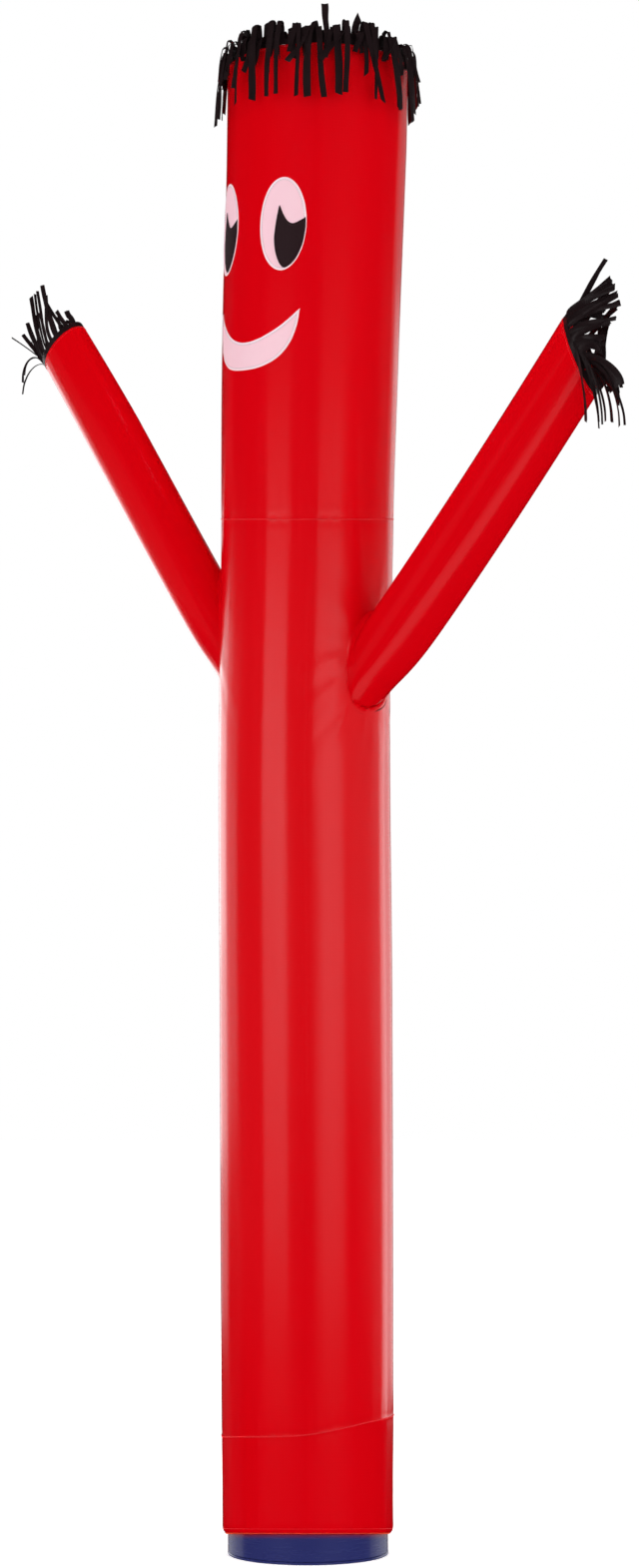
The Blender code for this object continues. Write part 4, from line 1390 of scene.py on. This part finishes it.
def hand(name):
    """Ring of ribbons round an arm's open end: blown along above, drooping below."""
    arm = arms[name]
    shape = new_shape()
    end = arm.base + arm.axis * arm.length
    broad = arm.axis.cross(Vector((0.0, 1.0, 0.0)))

    def edge(turn, inward, beyond):
        return arm.edge(turn, arm.radius - inward - arm.drawn_in(turn, 0.0), beyond)

    band(shape, edge, ARM_SIDES, arm.radius)
    seed = HAND_SEEDS[name]
    for angle, *sizes, companions in HANDS[name]:
        along, under, aside, width, throw, hang = (size / HAND_UNITS for size in sizes)
        for stray in (0.0, *[1.0] * companions):
            seed += 1
            turn = radians(angle + STRAY[0] * stray * vary(seed, 7))
            root = edge(turn, ROOT_INWARD + STRAY_ROOT * stray, ROOT_BEYOND)
            tip = end + arm.axis * (along + STRAY[1] * stray * abs(vary(seed, 8)))
            tip += arm.under * (under + STRAY[2] * stray * vary(seed, 9))
            tip += arm.side * (aside + STRAY[3] * stray * vary(seed, 10))
            out = root + arm.axis * throw
            if hang > 0.0:
                back = tip + UP * (hang * (1.0 + STRAY_HANG * stray * vary(seed, 11)))
            else:
                back = root.lerp(tip, HAND_PULL) + arm.axis * (HAND_PULL_THROW * throw)
            across = arm.axis.cross(arm.around(turn))
            twist = atan2(arm.axis.dot(across.cross(broad)), across.dot(broad))
            twist = (twist + pi / 2) % pi - pi / 2
            ribbon(shape, curve(root, out, back, tip), across,
                   width * (1.0 - STRAY_THINNER * stray), seed,
                   twist + HAND_TWIST * vary(seed, 14), HAND_SWAY,
                   twist_power=HAND_TWIST_POWER)
    return make_piece(f"hand_ribbons_{name}", shape, "black", f"hand_fringe_{name}", 30)


# ---- seam stitches

# To and fro over a seam: (seam, heights of the holes from it, lift, pitch)
ZIGZAGS = ((lower_seam, -0.0016, 0.0012, 0.0008, 0.0026),
           (upper_seam, -0.0008, 0.0010, 0.0002, 0.0032))

# Straight along an edge of the tube: (edge, height above it, lift)
STRAIGHTS = ((lambda azimuth: RIM_HEIGHT, -0.0030, 0.0001), (hem, 0.0105, -0.0004))
SEAM_POINTS = 400
ARM_END_POINTS = 160
ARM_END_INSET = 0.0040        # how far from an arm's end its stitches run
ARM_END_LIFT = 0.0002
HEM_HOLES = (0.0002, 0.0026)
HEM_LIFT = 0.0003
# Dark thread that paints the shadow in the fold under each arm
CREASE_STEPS = 22
CREASE_FIRST = 0.05           # turns of the crease's two ends round the arm
CREASE_LAST = 1.20
CREASE_UP = 0.0008
CREASE_LIFT = 0.0022
CREASE_THIN = 0.0003
CREASE_RADIUS = 0.0013
CREASE_LAP = 0.25             # how far its stitches run past their ends


def overlock(shape, count, hole):
    """Stitches to and fro round the tube: hole(azimuth, odd) gives a needle hole."""
    holes = []
    for number in range(2 * count):
        azimuth = 180.0 * number / count
        holes.append((hole(azimuth, number % 2), direction(azimuth)))
    for (start, normal), (end, _) in zip(holes, holes[1:] + holes[:1]):
        thread(shape, start, end, normal, OVERLOCK_RADIUS)


def seam_stitches():
    """Rows of stitches along the tube's seams, the rim, the hem and the arms' ends; their light
    red partly paints the seams' glint.
    """
    shape = bmesh.new()

    def over_seam(seam, low, high, lift, pitch):
        def hole(azimuth, odd):
            height = seam(azimuth) + (high if odd else low)
            return on_tube(azimuth, height, lift + soft_relief(radians(azimuth), height))

        overlock(shape, int(tau * tube_size(seam(0.0))[0] / pitch), hole)

    def beside(edge, above, lift):
        line = []
        for step in range(SEAM_POINTS):
            azimuth = 360.0 * step / SEAM_POINTS
            height = edge(azimuth) + above
            place = on_tube(azimuth, height, soft_relief(radians(azimuth), height) + lift)
            line.append((place, direction(azimuth)))
        stitch_line(shape, line)

    for row in ZIGZAGS:
        over_seam(*row)
    for row in STRAIGHTS:
        beside(*row)
    for arm in arms.values():
        line = []
        for step in range(ARM_END_POINTS):
            turn = tau * step / ARM_END_POINTS
            start, end = arm.ends(turn)
            place = arm_point(arm, turn, end - ARM_END_INSET, start, end, ARM_END_LIFT)
            line.append((place, arm.around(turn)))
        stitch_line(shape, line)
    return make_piece("seam_stitches", shape, "red_thread")


def arm_crease_shadow(name):
    """Dark thread under an arm where it leaves the body: a painted shadow of the fold there."""
    arm = arms[name]
    shape = bmesh.new()
    places = []
    for step in range(CREASE_STEPS + 1):
        share = step / CREASE_STEPS
        turn = CREASE_FIRST + (CREASE_LAST - CREASE_FIRST) * share
        start, end = arm.ends(turn)
        place = arm_point(arm, turn, start + CREASE_UP, start, end, CREASE_LIFT)
        radius = CREASE_THIN + CREASE_RADIUS * sin(pi * share)
        places.append((place, arm.around(turn), radius))
    for (start, normal, radius), (end, _, _) in zip(places, places[1:]):
        thread(shape, start.lerp(end, -CREASE_LAP), end.lerp(start, -CREASE_LAP), normal, radius)
    return make_piece(f"arm_seam_{name}", shape, "dark_thread")


def hem_stitches():
    """Overlock stitches round the cuff's lower edge; their light orange partly paints the
    highlight on the hem's rolled edge.
    """
    shape = bmesh.new()

    def hole(azimuth, odd):
        above = HEM_HOLES[odd]
        height = hem(azimuth) + above
        return on_tube(azimuth, height, cuff_lift(radians(azimuth), above, height) + HEM_LIFT)

    overlock(shape, OVERLOCKS, hole)
    return make_piece("hem_stitches", shape, "hem_thread")


# ---- the dancer

ring_piece = blower_ring()
cuff_piece, cuff_flat = cuff()
body_piece, body_flat = body()
head_piece, head_flat = head()
face_pieces, face_stitches = face()
hair_piece = hair()
stitches_piece = seam_stitches()
hem_stitches()
for arm_name in arms:
    sleeve, sleeve_flat = arm_cloth(arm_name)
    hand(arm_name)
    arm_crease_shadow(arm_name)


# ---- studio

CAMERA_DISTANCE = 6.0
CAMERA_HEIGHT = 0.90
CAMERA_SIDE = 0.0218
FRAME_HEIGHT = 1570
FOCAL_PIXELS = 3168.0
SENSOR = 36.0
AXIS_ROW = 1080.0             # image row that lies level with the camera
FLOOR_HALF = 40.0
FLOOR_GLOW = (0.15, 1.20, 0.55, 1.05)  # two distances from the dancer, and the strengths there


def camera():
    """Level camera in front of the dancer, shifted up to take in its whole height."""
    data = bpy.data.cameras.new("camera")
    data.sensor_width = SENSOR
    data.lens = SENSOR * FOCAL_PIXELS / FRAME_HEIGHT
    data.shift_y = (AXIS_ROW - FRAME_HEIGHT / 2) / FRAME_HEIGHT
    item = add_object("camera", data)
    item.location = CENTRE + Vector((CAMERA_SIDE, -CAMERA_DISTANCE, CAMERA_HEIGHT))
    item.rotation_euler = (radians(90.0), 0.0, 0.0)
    bpy.context.scene.camera = item


def area_light(name, azimuth, rise, distance, height, width, tall, radiance, shine):
    """Rectangular light that faces the dancer's axis; it only makes highlights (shine), or else
    it only lights colours."""
    turn = radians(rise)
    away = direction(azimuth) * cos(turn) + UP * sin(turn)
    data = bpy.data.lights.new(name, "AREA")
    data.shape = "RECTANGLE"
    data.size = width
    data.size_y = tall
    data.energy = radiance * pi * width * tall
    data.cycles.use_multiple_importance_sampling = shine
    item = add_object(name, data)
    item.location = CENTRE + UP * height + away * distance
    item.rotation_euler = (radians(90.0 - rise), 0.0, radians(azimuth))
    item.visible_camera = False
    item.visible_glossy = shine
    item.visible_diffuse = not shine


DRUM = 9.0                    # distance of the shine panels from the dancer's axis

# Shine panels: (name, azimuth from, azimuth to, low edge, high edge, radiance)
PANELS = (
    ("left_low", -50.5, -26.0, -0.05, 0.9, 0.85),
    ("left_middle", -50.5, -26.0, 0.9, 1.9, 1.30),
    ("left_high", -50.5, -26.0, 1.9, 3.2, 1.75),
    ("left_top", -50.5, -26.0, 3.2, 4.2, 0.06),
    ("right_low", 17.5, 49.5, -0.15, 0.9, 0.70),
    ("right_middle", 17.5, 49.5, 0.9, 1.9, 1.22),
    ("right_high", 17.5, 49.5, 1.9, 3.15, 1.35),
    ("right_top", 17.5, 49.5, 3.15, 4.4, 0.09),
    ("front", -26.0, 17.5, 0.6, 3.3, 0.10),
    ("left_side", -110.0, -50.5, -0.2, 3.3, 0.10),
    ("right_side", 49.5, 80.0, 1.0, 3.2, 0.36),
    ("far_right_low", 80.0, 116.0, -0.4, 1.0, 0.08),
    ("far_right_high", 80.0, 116.0, 1.0, 2.9, 0.34),
    ("edge_right", 114.0, 140.0, -0.80, 2.8, 2.15),
    ("edge_right_high", 122.0, 140.0, 3.0, 5.5, 0.30),
    ("back_right", 140.0, 168.0, -0.60, 3.0, 0.92),
    ("back_right_high", 140.0, 168.0, 3.0, 4.4, 0.90),
    ("back_right_top", 140.0, 168.0, 4.4, 5.8, 0.28),
    ("back_left_low", -168.0, -130.0, -0.3, 0.5, 0.55),
    ("back_left_middle", -168.0, -130.0, 0.5, 1.5, 1.65),
    ("back_left_high", -168.0, -130.0, 1.5, 2.9, 2.45),
    ("back_left_top", -168.0, -130.0, 2.9, 3.6, 1.00),
    ("edge_left", -130.0, -110.0, 0.6, 3.2, 0.85),
    ("ring_left", -160.0, -106.0, -2.0, -0.6, 0.55),
    ("ring_right", 100.0, 160.0, -2.0, -0.6, 0.45),
)

# Other lights: (name, azimuth, rise, distance, height they face, width, height, radiance, shine)
LIGHTS = (
    ("glow_low", -2.0, -45.0, 7.0, 1.90, 4.2, 2.6, 0.55, True),
    *((f"soft_{azimuth}", azimuth, 0.0, 5.5, 1.4, 5.3, 9.0, 1.42, False)
      for azimuth in (-30, 30, -90, 90, -150, 150)),
    ("soft_above", 0.0, 90.0, 5.0, 1.5, 5.0, 5.0, 2.2, False),
    ("soft_below", 0.0, -90.0, 5.0, 1.5, 5.0, 5.0, 1.4, False),
)

# Shine that reaches some pieces only:
# (lights, starts of pieces' names, whether these are the lit ones or the unlit ones)
LINKS = (
    (("left_low", "left_middle", "left_high", "front"), "arm_cloth", False),
    (("glow_low",), "arm_cloth", True),
    (("ring_left", "ring_right"), "ring_shell", True),
    (("far_right_high", "back_right", "back_right_high"), "arm_cloth_right", False),
    (("far_right_low", "edge_right"), ("arm_cloth_right", "cuff_cloth"), False),
)


def world():
    """White studio to look at; the lights do all the lighting."""
    item = bpy.data.worlds.new("studio")
    item.use_nodes = True
    tree = item.node_tree
    background = tree.nodes["Background"]
    background.inputs["Color"].default_value = (1.0, 1.0, 1.0, 1.0)
    path = tree.nodes.new("ShaderNodeLightPath")
    tree.links.new(path.outputs["Is Camera Ray"], background.inputs["Strength"])
    bpy.context.scene.world = item


def floor():
    """Wide white floor."""
    mesh = bpy.data.meshes.new("floor")
    signs = ((-1, -1), (1, -1), (1, 1), (-1, 1))
    mesh.from_pydata([(FLOOR_HALF * x, FLOOR_HALF * y, 0.0) for x, y in signs], [], [(0, 1, 2, 3)])
    material = base_material("floor_white", (0.86, 0.86, 0.86), 0.9, Specular_IOR_Level=0.0,
                             Emission_Color=(1.0, 1.0, 1.0, 1.0))
    place = node(material, "ShaderNodeTexCoord").outputs["Object"]
    reach = node(material, "ShaderNodeVectorMath", ("operation", "LENGTH"), _0=place)
    near, far, dim, bright = FLOOR_GLOW
    glow = node(material, "ShaderNodeMapRange", _0=reach.outputs["Value"], _1=near, _2=far,
                _3=dim, _4=bright)
    finish(material, Emission_Strength=glow.outputs[0])
    mesh.materials.append(material)
    item = add_object("floor", mesh)
    item.location = CENTRE
    item.visible_glossy = False
    item.visible_diffuse = False
    item.visible_shadow = False


camera()
for row in LIGHTS:
    area_light(*row)
for name, first, last, low, high, radiance in PANELS:
    width = 2.0 * DRUM * tan(radians(last - first) / 2)
    area_light(name, (first + last) / 2, 0.0, DRUM, (low + high) / 2, width, high - low, radiance,
               True)
for names, start, among in LINKS:
    for name in names:
        group = bpy.data.collections.new(f"{name}_lights")
        bpy.data.objects[name].light_linking.receiver_collection = group
        for piece in bpy.context.scene.collection.objects:
            if piece.type == "MESH" and piece.name.startswith(start) == among:
                group.objects.link(piece)
world()
floor()
bpy.context.scene.view_settings.view_transform = "Standard"
bpy.context.scene.view_settings.look = "None"
